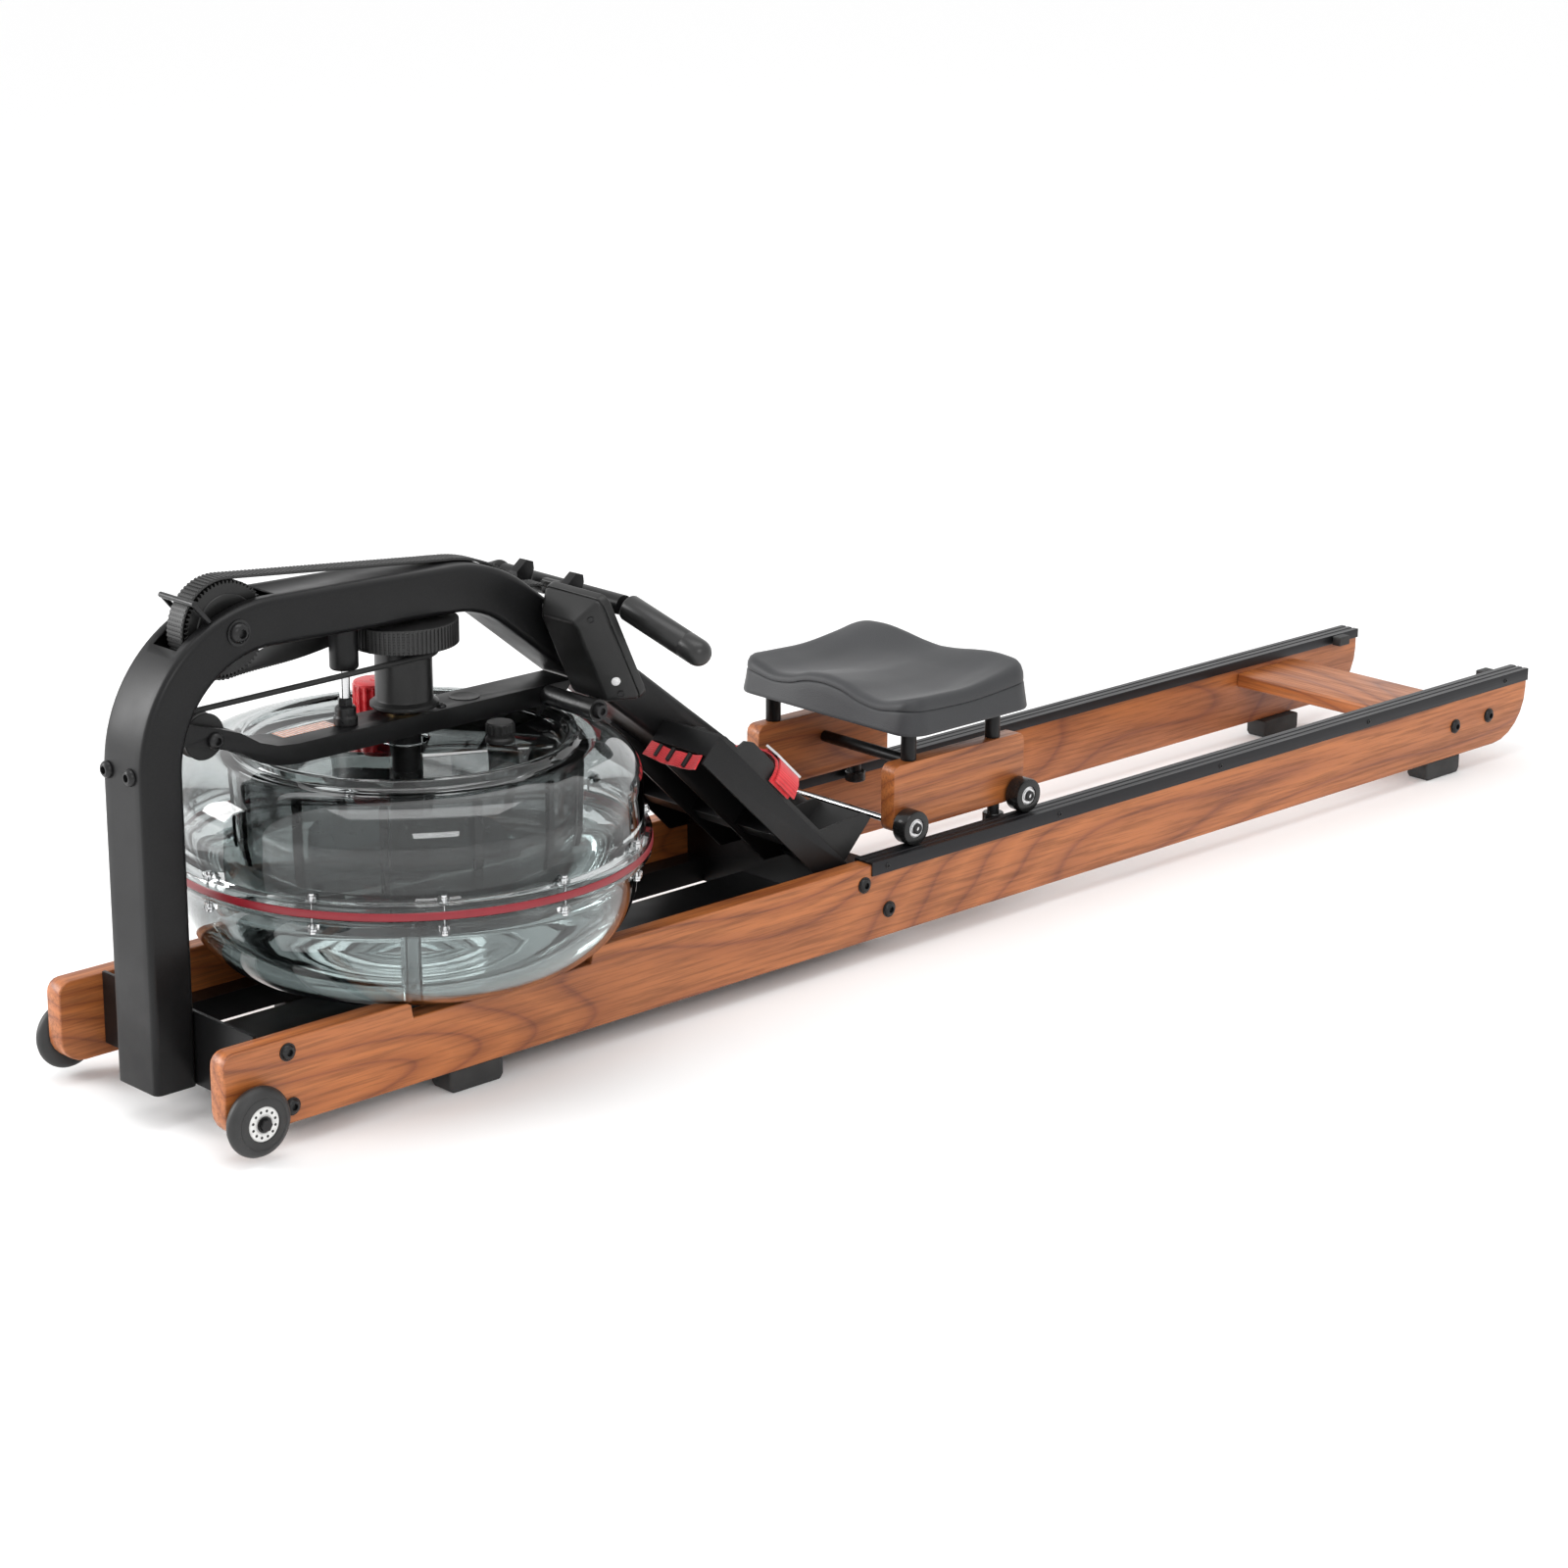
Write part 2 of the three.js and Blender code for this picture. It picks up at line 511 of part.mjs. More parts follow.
const beltDrum = ontoDrum(topPulley.station, spoolSide, spoolMid, 1, 270, 26);
const beltStart = new THREE.Vector3(topPulley.station, 0, pulleyZ - wrap);
const twistSteps = 8;
for (let i = 1; i <= twistSteps; i += 1) {
  const share = i / twistSteps;
  const turn = -share * share * (3 - 2 * share) * 90 * degree;
  const p = beltStart.clone().lerp(beltDrum[0], share);
  beltRun.push({ p, across: new THREE.Vector3(0, Math.cos(turn), Math.sin(turn)) });
}
const upward = new THREE.Vector3(0, 0, -1);
beltRun.push(...beltDrum.slice(1).map((p) => ({ p, across: upward })));
add('drive_belt', ribbon(beltRun, belt.width, belt.thick), blackRubber());

const cordLift = idler.radius - 1 + cord.radius + fit;
const cordSide = spool.hub + cord.radius + fit;
const cordLine = [
  ...arc(idler.station, idler.z, cordLift, 185, 90, 7).map(([x, z]) => new THREE.Vector3(x, 0, z)),
  ...ontoDrum(idler.station, cordSide, spool.low - 9, -1, 240, 20),
];
const cordFrames = cordLine.map((p) => ({ p, across: sideways }));
add('recoil_cord', ribbon(cordFrames, 2 * cord.radius, 2 * cord.radius), blackRubber());

// ---------------------------------------------------------------- handle and its rest
const handleX = handle.station;
add('handle_bar', rodY(handle.radius, handleX, handleZ, [-handle.half, handle.half], 20), blackCoat());
for (const [name, side] of bothSides) {
  const length = Math.hypot(handle.gripEnd - handle.half, handle.droop, 14);
  const grip = turned([
    [0, 1], [handle.gripRadius - 2, 1], [handle.gripRadius, 4], [handle.gripRadius, length - 10],
    [handle.gripRadius - 4, length - 2], [0, length],
  ], 20);
  const run = new THREE.Vector3(14, side * (handle.gripEnd - handle.half), -handle.droop).normalize();
  const turn = new THREE.Quaternion().setFromUnitVectors(new THREE.Vector3(0, 0, 1), run);
  grip.applyQuaternion(turn);
  const start = handle.half + handle.gripRadius * (handle.droop / length) + fit;
  grip.translate(handleX, side * start, handleZ);
  add(`grip_${name}`, grip, blackRubber());
}
const claspX = [beltRear, handleX - handle.radius - fit];
add('belt_clasp', block(claspX, [-14, 14], [handleZ - 4, handleZ + 13]), blackPlastic());

const prongs = [];
const restX = [handle.station - 27, handle.station - 15];
const restFoot = (x) => mastTop(x) + fit;
for (const [, side] of bothSides) {
  const low = mastTop(restX[1]) + 2;
  const prong = [
    [restX[0], low], [restX[1], low], [restX[1] - 2, handleZ + 3], [restX[1] + 4, handleZ + 18],
    [restX[1] + 3, handleZ + 26], [restX[1] - 6, handleZ + 29], [restX[0] - 8, handleZ + 18],
    [restX[0] - 6, handleZ + 3],
  ];
  prongs.push(slab(prong, span(side, mastHalf, mastHalf + 12)));
}
prongs.push(slab([
  [restX[0], restFoot(restX[0])], [restX[1], restFoot(restX[1])],
  [restX[1], restFoot(restX[1]) + 6], [restX[0], restFoot(restX[0]) + 6],
], [-mastHalf - 12, mastHalf + 12]));
add('handle_rest', join(...prongs), blackCoat());

// ---------------------------------------------------------------- monitor
const tiltLine = new THREE.Vector2(Math.sin(screen.tilt * degree), -Math.cos(screen.tilt * degree));
const depthLine = new THREE.Vector2(-tiltLine.y, tiltLine.x);
const screenTop = new THREE.Vector2(518.5, 482.5);
const onScreen = (down, deep) => {
  const p = screenTop.clone().addScaledVector(tiltLine, down).addScaledVector(depthLine, -deep);
  return [p.x, p.y];
};
const faceDeep = 14;
const facePlate = [onScreen(0, 0), onScreen(0, faceDeep), onScreen(130, faceDeep), onScreen(130, 0)];
const pivot = [screen.pivotStation, screen.pivotZ];
const screenY = -mastHalf - 1 - screen.width / 2;
const humpLine = [onScreen(0, faceDeep - 1), onScreen(2, 40), onScreen(110, 36),
  ...arc(...pivot, 12, 160, 300, 5), onScreen(128, faceDeep - 1)];
const half = screen.width / 2;
const humpHalf = screen.hump / 2;
const monitorBody = join(
  slab(facePlate.slice().reverse(), [screenY - half, screenY + half]),
  slab(humpLine, [screenY - humpHalf, screenY + humpHalf]),
);
add('monitor', cut(monitorBody,
  rodY(5.4, ...pivot, [screenY - 60, screenY + 60]),
  block([pivot[0] - 20, pivot[0] + 16], [screenY - 8, screenY + 60], [pivot[1] - 20, pivot[1] + 16]),
), blackPlastic());
add('monitor_pivot', turnedY([
  [0, screenY - humpHalf - 7], [7, screenY - humpHalf - 7], [8.5, screenY - humpHalf - 4],
  [8.5, screenY - humpHalf - fit], [5, screenY - humpHalf - fit], [5, screenY - 8 + fit],
  [11, screenY - 8 + fit], [11, -barHalf - fit], [0, -barHalf - fit],
], 20, ...pivot), blackCoat());

// ---------------------------------------------------------------- foot tray and pedals
const slope = tray.slope * degree;
const onTray = (down, lift) => [
  tray.toe + down * Math.cos(slope) + lift * Math.sin(slope),
  tray.toeZ - down * Math.sin(slope) + lift * Math.cos(slope),
];
const trayBox = (u, n, y) =>
  slab([onTray(u[0], n[0]), onTray(u[1], n[0]), onTray(u[1], n[1]), onTray(u[0], n[1])], y);
const trayEnd = tray.length;
const mastSide = mastHalf + fit;
const trayParts = [
  trayBox([170, 190], [-30, -12], [-tray.half, tray.half]),
  trayBox([trayEnd - 22, trayEnd], [-14, -5], [-tray.half, tray.half]),
];
for (const [, side] of bothSides) {
  trayParts.push(trayBox([0, trayEnd], [-tray.depth, 0], span(side, tray.half - tray.skin, tray.half)));
  trayParts.push(trayBox([0, trayEnd], [-tray.skin, 0], span(side, mastSide, tray.half)));
  trayParts.push(trayBox([0, tray.skin], [-tray.depth + 10, 0], span(side, mastSide, tray.half)));
  trayParts.push(trayBox([0, trayEnd], [-tray.depth, 0], span(side, mastSide, mastSide + tray.skin)));
}
const trayFloor = block([tray.toe, 1100], [-200, 200], [-100, crossTop + fit]);
add('foot_tray', cut(join(...trayParts), trayFloor), blackCoat());

for (const [name, side] of bothSides) {
  const y = span(side, pedal.inner, pedal.outer);
  const wall = 3.5;
  const low = fit;
  const board = trayBox([pedal.start, pedal.end], [low, low + pedal.base], y);
  const heelBack = trayBox([pedal.end - 4, pedal.end], [low, pedal.heel], y);
  const parts = [board, heelBack];
  const toeLine = [onTray(34, low), onTray(112, low), onTray(104, pedal.toeWall - 6),
    onTray(92, pedal.toeWall), onTray(52, pedal.toeWall), onTray(40, pedal.toeWall - 6)];
  const heelLine = [onTray(205, low), onTray(pedal.end, low), onTray(pedal.end, pedal.heel),
    onTray(pedal.end - 14, pedal.heel - 2), onTray(222, 20)];
  for (const edge of [span(side, pedal.inner, pedal.inner + wall), span(side, pedal.outer - wall, pedal.outer)]) {
    parts.push(slab(toeLine, edge), slab(heelLine, edge));
  }
  add(`pedal_${name}`, join(...parts), blackPlastic());

  const middle = (pedal.inner + pedal.outer) / 2;
  const reach = (pedal.outer - pedal.inner) / 2 + strap.thick / 2 + 1;
  const frames = [];
  const alongTray = new THREE.Vector3(Math.cos(slope), 0, -Math.sin(slope));
  const strapStep = (offset, lift) => {
    const [x, z] = onTray(strap.station, lift);
    frames.push({ p: new THREE.Vector3(x, side * (middle + offset), z), across: alongTray });
  };
  strapStep(-reach, 9);
  for (let i = 0; i <= 8; i += 1) {
    const angle = (180 - i * 22.5) * degree;
    strapStep(Math.cos(angle) * reach, 26 + Math.sin(angle) * 34);
  }
  strapStep(reach, 9);
  add(`foot_strap_${name}`, ribbon(frames, strap.width, strap.thick), finish(0xd11a26, 0.8, 0));
}

// ---------------------------------------------------------------- seat carriage
const boardX = [carriage.station - carriage.half, carriage.station + carriage.half];
const axleStations = [carriage.station - roller.wheelbase / 2, carriage.station + roller.wheelbase / 2];
const axleZ = coverTop + roller.radius + fit;
const boardOut = coverInner - carriage.inside;
const boardIn = boardOut - carriage.board;
const tie = { radius: 7, z: 176 };
for (const [name, side] of bothSides) {
  const r = 10;
  const [x0, x1] = boardX;
  const outline = [
    ...arc(x0 + r, carriage.low + r, r, 180, 270, 3), ...arc(x1 - r, carriage.low + r, r, 270, 360, 3),
    ...arc(x1 - r, carriage.high - r, r, 0, 90, 3), ...arc(x0 + r, carriage.high - r, r, 90, 180, 3),
  ];
  const bores = axleStations.map((x) => rodY(roller.axle + fit, x, axleZ, [-200, 200], 12));
  const board = slab(outline, span(side, boardIn, boardOut));
  add(`carriage_board_${name}`, cut(board, ...bores), oiledAsh());
}
add('carriage_tie', rodY(tie.radius, carriage.station, tie.z, [-boardIn + fit, boardIn - fit]), blackCoat());

const rollerIn = boardOut + 3;
const axleTip = rollerIn + roller.width + 2;
['front', 'rear'].forEach((place, i) => {
  const x = axleStations[i];
  const nut = [[0, -axleTip], [roller.axle, -axleTip], [roller.axle, axleTip], [0, axleTip]];
  add(`axle_${place}`, turnedY(nut, 12, x, axleZ), steel());
  for (const [name, side] of bothSides) {
    const y = span(side, rollerIn, rollerIn + roller.width);
    const soft = 2;
    add(`roller_${place}_${name}`, turnedY([
      [roller.axle + fit, y[0]], [roller.radius - soft, y[0]], [roller.radius, y[0] + soft],
      [roller.radius, y[1] - soft], [roller.radius - soft, y[1]], [roller.axle + fit, y[1]],
    ], 24, x, axleZ), blackRubber());
  }
});

const guideY = coverInner - guide.radius - 1.2;
const guideZ = [coverLip, coverLip + guide.height];
for (const [name, side] of bothSides) {
  const x = carriage.station + guide.offset;
  const y = side * guideY;
  add(`guide_pin_${name}`, join(
    rodZ(guide.stem, x, y, [guideZ[0] - 2, carriage.low - fit], 12),
    rodZ(7, x, y, [guideZ[1] + fit, carriage.low - fit], 16),
    rodZ(6, x, y, [guideZ[0] - 2, guideZ[0] - fit], 16),
  ), steel());
  add(`guide_roller_${name}`, turned([
    [guide.stem + fit, guideZ[0]], [guide.radius, guideZ[0]], [guide.radius, guideZ[1]],
    [guide.stem + fit, guideZ[1]],
  ], 20).translate(x, y, 0), blackRubber());
}

// ---------------------------------------------------------------- seat
const postStations = [carriage.station - seat.postSpan / 2 - 5, carriage.station + seat.postSpan / 2 - 5];
const postY = (boardIn + boardOut) / 2;
const plateZ = [seat.bottom, seat.bottom + 4];
const seatX = [carriage.station - 104, carriage.station - 104 + seat.length];
const supportParts = [block([seatX[0] + 18, seatX[1] - 18], [-postY - 12, postY + 12], plateZ)];
for (const x of postStations) {
  for (const side of [-1, 1]) {
    supportParts.push(rodZ(seat.post, x, side * postY, [carriage.high + fit, seat.bottom + 1]));
  }
}
add('seat_support', join(...supportParts), blackCoat());

// rounded rectangle in plan; the pad is a shallow tray of foam around the support plate
function padShape(x, halfWidth, r) {
  const shape = new THREE.Shape();
  shape.moveTo(x[0] + r, -halfWidth);
  shape.lineTo(x[1] - r, -halfWidth);
  shape.absarc(x[1] - r, -halfWidth + r, r, -Math.PI / 2, 0);
  shape.absarc(x[1] - r, halfWidth - r, r, 0, Math.PI / 2);
  shape.absarc(x[0] + r, halfWidth - r, r, Math.PI / 2, Math.PI);
  shape.absarc(x[0] + r, -halfWidth + r, r, Math.PI, Math.PI * 1.5);
  return shape;
}
const padBlock = (inset, z) => new THREE.ExtrudeGeometry(
  padShape([seatX[0] + inset, seatX[1] - inset], seat.width / 2 - inset, 26),
  { depth: z[1] - z[0], bevelEnabled: false, curveSegments: 5 },
).translate(0, 0, z[0]);
const padLow = plateZ[1] + fit;
const padTop = seat.bottom + seat.edge;
const riseOutline = [
  [seatX[0] + 6, padTop - 2], [seatX[1] - 4, padTop - 2], [seatX[1] - 8, padTop + 24],
  [seatX[1] - 34, padTop + 22], [seatX[0] + 110, padTop + 7], [seatX[0] + 30, padTop + 5],
];
const padBody = join(
  padBlock(0, [padLow - 6, padTop]),
  slab(riseOutline, [-seat.width / 2 + 20, seat.width / 2 - 20]),
);
const plateRoom = block([seatX[0] + 16, seatX[1] - 16], [-postY - 14, postY + 14], [padLow - 20, padLow]);
add('seat_pad', cut(padBody, plateRoom), finish(0x2c2d30, 0.85, 0));

// ---------------------------------------------------------------- transport wheels
for (const [name, side] of bothSides) {
  const inner = rail.outerHalf + 1.5;
  const y = span(side, inner, inner + truck.width);
  const r = truck.radius;
  add(`wheel_${name}`, turnedY([
    [truck.bolt + fit, y[0]], [r - 14, y[0]], [r - 7, y[0] + 2], [r - 1.5, y[0] + 6], [r, (y[0] + y[1]) / 2],
    [r - 1.5, y[1] - 6], [r - 7, y[1] - 2], [r - 14, y[1]], [truck.bolt + fit, y[1]],
  ], 32, truck.station, truck.z), blackRubber());
  const head = side * (inner + truck.width + fit);
  const tip = side * (rail.outerHalf + fit);
  const bolt = [[0, tip], [truck.bolt, tip], [truck.bolt, head], [7, head], [7, head + side * 3],
    [5, head + side * 5], [0, head + side * 5]];
  add(`wheel_bolt_${name}`, turnedY(side < 0 ? bolt.reverse() : bolt, 16, truck.station, truck.z), steel());
}

const frontReach = truck.radius - truck.station;
machine.position.x = -(rail.length - frontReach) / 2;

export default machine;
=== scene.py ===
import math
import bmesh
import bpy
from mathutils import Matrix, Vector


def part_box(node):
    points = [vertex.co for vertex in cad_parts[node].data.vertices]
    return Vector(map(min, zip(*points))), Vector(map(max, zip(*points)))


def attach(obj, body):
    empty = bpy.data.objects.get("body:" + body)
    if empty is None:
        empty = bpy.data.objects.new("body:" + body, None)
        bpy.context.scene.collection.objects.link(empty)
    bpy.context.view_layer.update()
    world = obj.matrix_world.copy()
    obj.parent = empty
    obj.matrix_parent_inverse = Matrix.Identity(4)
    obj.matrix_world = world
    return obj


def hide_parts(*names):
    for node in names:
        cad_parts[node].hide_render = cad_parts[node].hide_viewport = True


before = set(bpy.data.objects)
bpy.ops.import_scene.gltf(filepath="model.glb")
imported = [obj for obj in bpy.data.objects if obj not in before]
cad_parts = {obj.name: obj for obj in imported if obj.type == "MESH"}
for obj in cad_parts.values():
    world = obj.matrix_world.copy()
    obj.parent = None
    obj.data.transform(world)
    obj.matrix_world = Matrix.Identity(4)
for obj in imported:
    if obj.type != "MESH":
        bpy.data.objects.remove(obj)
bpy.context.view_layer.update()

# ---- camera
# A long lens looks down at the machine from its near side and its tank end, from far enough
# away that the rails hardly converge.
camera_data = bpy.data.cameras.new("camera")
camera_data.sensor_width = 36
camera_data.lens = 87.318
camera_data.clip_end = 60
camera = bpy.data.objects.new("camera", camera_data)
bpy.context.scene.collection.objects.link(camera)
bpy.context.scene.camera = camera
camera_turn, camera_rise, camera_roll = (math.radians(a) for a in (-43.5339, 16.879, 0.1856))
camera_distance = 4.3526
camera_back = Vector((
    math.sin(camera_turn) * math.cos(camera_rise),
    -math.cos(camera_turn) * math.cos(camera_rise),
    math.sin(camera_rise),
))
camera_aim = Vector((-0.1584, 0, 0.1721))
camera.matrix_world = (
    Matrix.Translation(camera_aim + camera_back * camera_distance)
    @ (-camera_back).to_track_quat("-Z", "Y").to_matrix().to_4x4()
    @ Matrix.Rotation(camera_roll, 4, "Z")
)

# ---- floor and lights
# A seamless white studio floor under three soft boxes: a wide one overhead, a strong one at the
# front and a weak one on the near side.
def light_panel(name, place, aim, size, watts):
    lamp = bpy.data.lights.new(name, "AREA")
    lamp.shape = "RECTANGLE"
    lamp.size, lamp.size_y = size
    lamp.energy = watts
    panel = bpy.data.objects.new(name, lamp)
    bpy.context.scene.collection.objects.link(panel)
    place = Vector(place)
    turn = (Vector(aim) - place).to_track_quat("-Z", "Y").to_matrix().to_4x4()
    panel.matrix_world = Matrix.Translation(place) @ turn


def finish(material, **values):
    """what is the same all over the surface"""
    shader = material.node_tree.nodes["Principled BSDF"]
    for socket, value in values.items():
        shader.inputs[socket.replace("_", " ")].default_value = value


def new_material(name, color, roughness=0.5, metallic=0.0):
    material = bpy.data.materials.new(name)
    material.use_nodes = True
    finish(material, Base_Color=(*color, 1), Roughness=roughness, Metallic=metallic)
    return material


floor_bm = bmesh.new()
bmesh.ops.create_grid(floor_bm, x_segments=1, y_segments=1, size=40)
floor_mesh = bpy.data.meshes.new("studio_floor")
floor_bm.to_mesh(floor_mesh)
floor_bm.free()
studio_floor = bpy.data.objects.new("studio_floor", floor_mesh)
floor_mesh.materials.append(new_material("studio_white", (0.97, 0.97, 0.97), 0.95))
bpy.context.scene.collection.objects.link(studio_floor)

world = bpy.data.worlds.new("studio")
world.use_nodes = True
backdrop = world.node_tree.nodes["Background"].inputs
backdrop["Color"].default_value = (1, 1, 1, 1)
backdrop["Strength"].default_value = 1.02
bpy.context.scene.world = world
bpy.context.scene.view_settings.view_transform = "Standard"
light_panel("overhead", (-0.6, -0.4, 3.0), (-0.3, 0, 0), (2.6, 1.3), 26)
light_panel("front_box", (-3.0, 2.3, 1.5), (-0.8, 0, 0.3), (1.6, 1.8), 85)
light_panel("near_box", (-2.2, -3.4, 2.3), (-0.2, 0, 0.2), (1.5, 0.9), 24)

# ---- wooden rails
# Two planks of oiled ash, planed and rounded along every edge, with a notch for the tank.
# They stand on edge and carry everything else; the wheels are bolted to their noses.
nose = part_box("rail_near")[0].x
both_sides = (("near", -1), ("far", 1))


def texture(material, kind, scale, stretch=(1, 1, 1), turn=(0, 0, 0), **settings):
    """a pattern on the piece's own place in the machine"""
    nodes, links = material.node_tree.nodes, material.node_tree.links
    place = nodes.new("ShaderNodeTexCoord")
    mapping = nodes.new("ShaderNodeMapping")
    mapping.inputs["Scale"].default_value = stretch
    mapping.inputs["Rotation"].default_value = turn
    pattern = nodes.new(kind)
    pattern.inputs["Scale"].default_value = scale
    for name, value in settings.items():
        pattern.inputs[name.replace("_", " ")].default_value = value
    links.new(place.outputs["Object"], mapping.inputs["Vector"])
    links.new(mapping.outputs["Vector"], pattern.inputs["Vector"])
    return pattern


def noise(material, scale, stretch=(1, 1, 1), turn=(0, 0, 0), **settings):
    """the strength of a cloudy pattern"""
    return texture(material, "ShaderNodeTexNoise", scale, stretch, turn, **settings).outputs["Fac"]


def ramp(material, source, stops):
    """turns a pattern's strength into colours or greys"""
    nodes, links = material.node_tree.nodes, material.node_tree.links
    colours = nodes.new("ShaderNodeValToRGB")
    while len(colours.color_ramp.elements) < len(stops):
        colours.color_ramp.elements.new(0.5)
    for element, (spot, colour) in zip(colours.color_ramp.elements, stops):
        element.position = spot
        element.color = (*colour, 1) if isinstance(colour, tuple) else (colour, colour, colour, 1)
    links.new(source, colours.inputs["Fac"])
    return colours.outputs["Color"]


def blend_colours(material, a, b, amount, way="MIX"):
    mix = material.node_tree.nodes.new("ShaderNodeMix")
    mix.data_type = "RGBA"
    mix.blend_type = way
    for socket, value in ((mix.inputs[6], a), (mix.inputs[7], b), (mix.inputs[0], amount)):
        if isinstance(value, (int, float, tuple)):
            socket.default_value = value
        else:
            material.node_tree.links.new(value, socket)
    return mix.outputs[2]


def relief(material, height, strength, depth):
    """bump from a pattern; depth in metres"""
    nodes, links = material.node_tree.nodes, material.node_tree.links
    bump = nodes.new("ShaderNodeBump")
    bump.inputs["Strength"].default_value = strength
    bump.inputs["Distance"].default_value = depth
    links.new(height, bump.inputs["Height"])
    links.new(bump.outputs["Normal"], nodes["Principled BSDF"].inputs["Normal"])


def feed(material, socket, source):
    shader = material.node_tree.nodes["Principled BSDF"]
    material.node_tree.links.new(source, shader.inputs[socket])


def vary(material, socket, source, stops):
    """lets a pattern change one of the shader's values from place to place"""
    feed(material, socket, ramp(material, source, stops))


def oiled_wood(name, drift, across=False):
    """grain along the machine, or across it"""
    def lengthwise(share):
        return (1.0, share, 1.0) if across else (share, 1.0, 1.0)

    material = new_material(name, (0.45, 0.16, 0.06), 0.42)
    figure = noise(material, 3.6, lengthwise(0.20), (0, 0, drift), Detail=1.5)
    ring_count = 34.0
    for operation in ("MULTIPLY", "FRACT"):
        arithmetic = material.node_tree.nodes.new("ShaderNodeMath")
        arithmetic.operation = operation
        arithmetic.inputs[1].default_value = ring_count
        material.node_tree.links.new(figure, arithmetic.inputs[0])
        figure = arithmetic.outputs[0]
    rings = ramp(material, figure, [
        (0.0, (0.38, 0.110, 0.026)), (0.45, (0.51, 0.162, 0.042)), (0.80, (0.41, 0.122, 0.030)),
        (0.93, (0.27, 0.072, 0.020)), (1.0, (0.38, 0.112, 0.028)),
    ])
    pores = noise(material, 260.0, lengthwise(0.035), Detail=4.0, Roughness=0.7)
    flecks = ramp(material, pores, [(0.38, 0.42), (0.55, 1.0)])
    patches = noise(material, 5.0, lengthwise(0.5), Detail=2.0)
    shade = ramp(material, patches, [(0.3, 0.82), (0.7, 1.0)])
    wood = blend_colours(material, rings, flecks, 0.62, "MULTIPLY")
    feed(material, "Base Color", blend_colours(material, wood, shade, 1.0, "MULTIPLY"))
    vary(material, "Roughness", pores, [(0.3, 0.6), (0.6, 0.36)])
    relief(material, pores, 0.25, 0.0003)
    finish(material, Coat_Weight=0.15, Coat_Roughness=0.3)
    return material


rail_wood = oiled_wood("rail_wood", 0.02)


def set_piece(name, bm, body, material, stands_for=(), round_edge=0.0, smooth=35, metres=False):
    """a finished piece: bm is in millimetres and in stations from the rails' front ends"""
    if not metres:
        size = Matrix.Diagonal((0.001, 0.001, 0.001, 1))
        bmesh.ops.transform(bm, matrix=Matrix.Translation((nose, 0, 0)) @ size, verts=bm.verts)
    bmesh.ops.recalc_face_normals(bm, faces=bm.faces)
    mesh = bpy.data.meshes.new(name)
    bm.to_mesh(mesh)
    bm.free()
    mesh.shade_smooth()
    keen = math.radians(smooth)
    if not round_edge:
        mesh.set_sharp_from_angle(angle=keen)
    mesh.materials.append(material)
    piece = bpy.data.objects.new(name, mesh)
    bpy.context.scene.collection.objects.link(piece)
    if round_edge:
        edge = piece.modifiers.new("rounded edges", "BEVEL")
        edge.width = round_edge / 1000
        edge.segments = 3
        edge.limit_method = "ANGLE"
        edge.angle_limit = keen
        edge.harden_normals = True
    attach(piece, body)
    if stands_for:
        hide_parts(*stands_for)
    return piece


def dressed(node, name, body, material, round_edge, smooth=35):
    """the node's own shape with clean flat faces and rounded edges"""
    bm = bmesh.new()
    bm.from_mesh(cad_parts[node].data)
    bmesh.ops.remove_doubles(bm, verts=bm.verts, dist=1e-5)
    bmesh.ops.dissolve_limit(bm, angle_limit=math.radians(0.8), verts=bm.verts, edges=bm.edges)
    return set_piece(name, bm, body, material, (node,), round_edge, smooth, metres=True)


for (side, _), wood in zip(both_sides, (rail_wood, oiled_wood("rail_wood_far", -0.03))):
    dressed(f"rail_{side}", f"rail_plank_{side}", "frame", wood, 4.5)

# ---- track covers
# Black anodised aluminium channels pressed over the rails' rear parts, with two grooves.
# The seat's rollers run on their tops; small screws hold them from the side.
def black_anodised(name):
    material = new_material(name, (0.018, 0.018, 0.02), 0.38, 0.6)
    drawn = noise(material, 900.0, (0.01, 1, 1), Detail=3.0)
    vary(material, "Roughness", drawn, [(0.3, 0.3), (0.7, 0.48)])
    relief(material, drawn, 0.12, 0.0001)
    return material


cover_black = black_anodised("cover_black")
for side, _ in both_sides:
    dressed(f"track_{side}", f"track_cover_{side}", "frame", cover_black, 0.5)


def turned(profile, steps, centre=(0, 0, 0), axis="Z"):
    """a solid of revolution from (radius, along) points"""
    bm = bmesh.new()
    spots = {"Z": lambda r, h: (r, 0, h), "Y": lambda r, h: (r, h, 0), "X": lambda r, h: (h, r, 0)}
    verts = [bm.verts.new(spots[axis](r, h)) for r, h in profile]
    edges = [bm.edges.new(pair) for pair in zip(verts, verts[1:])]
    if profile[0][0] > 0 and profile[-1][0] > 0:
        edges.append(bm.edges.new((verts[-1], verts[0])))
    pole = {"Z": (0, 0, 1), "Y": (0, 1, 0), "X": (1, 0, 0)}[axis]
    bmesh.ops.spin(bm, geom=verts + edges, cent=(0, 0, 0), axis=pole, angle=math.tau,
                   steps=steps, use_merge=True)
    bmesh.ops.remove_doubles(bm, verts=bm.verts, dist=1e-4)
    bmesh.ops.translate(bm, verts=bm.verts, vec=centre)
    return bm


def rod(radius, low, high, steps, centre=(0, 0, 0), axis="Z"):
    return turned([(0, low), (radius, low), (radius, high), (0, high)], steps, centre, axis)


def joined(*parts):
    """several closed shapes kept in one mesh"""
    whole = bmesh.new()
    for part in parts:
        mesh = bpy.data.meshes.new("part")
        part.to_mesh(mesh)
        part.free()
        whole.from_mesh(mesh)
        bpy.data.meshes.remove(mesh)
    return whole


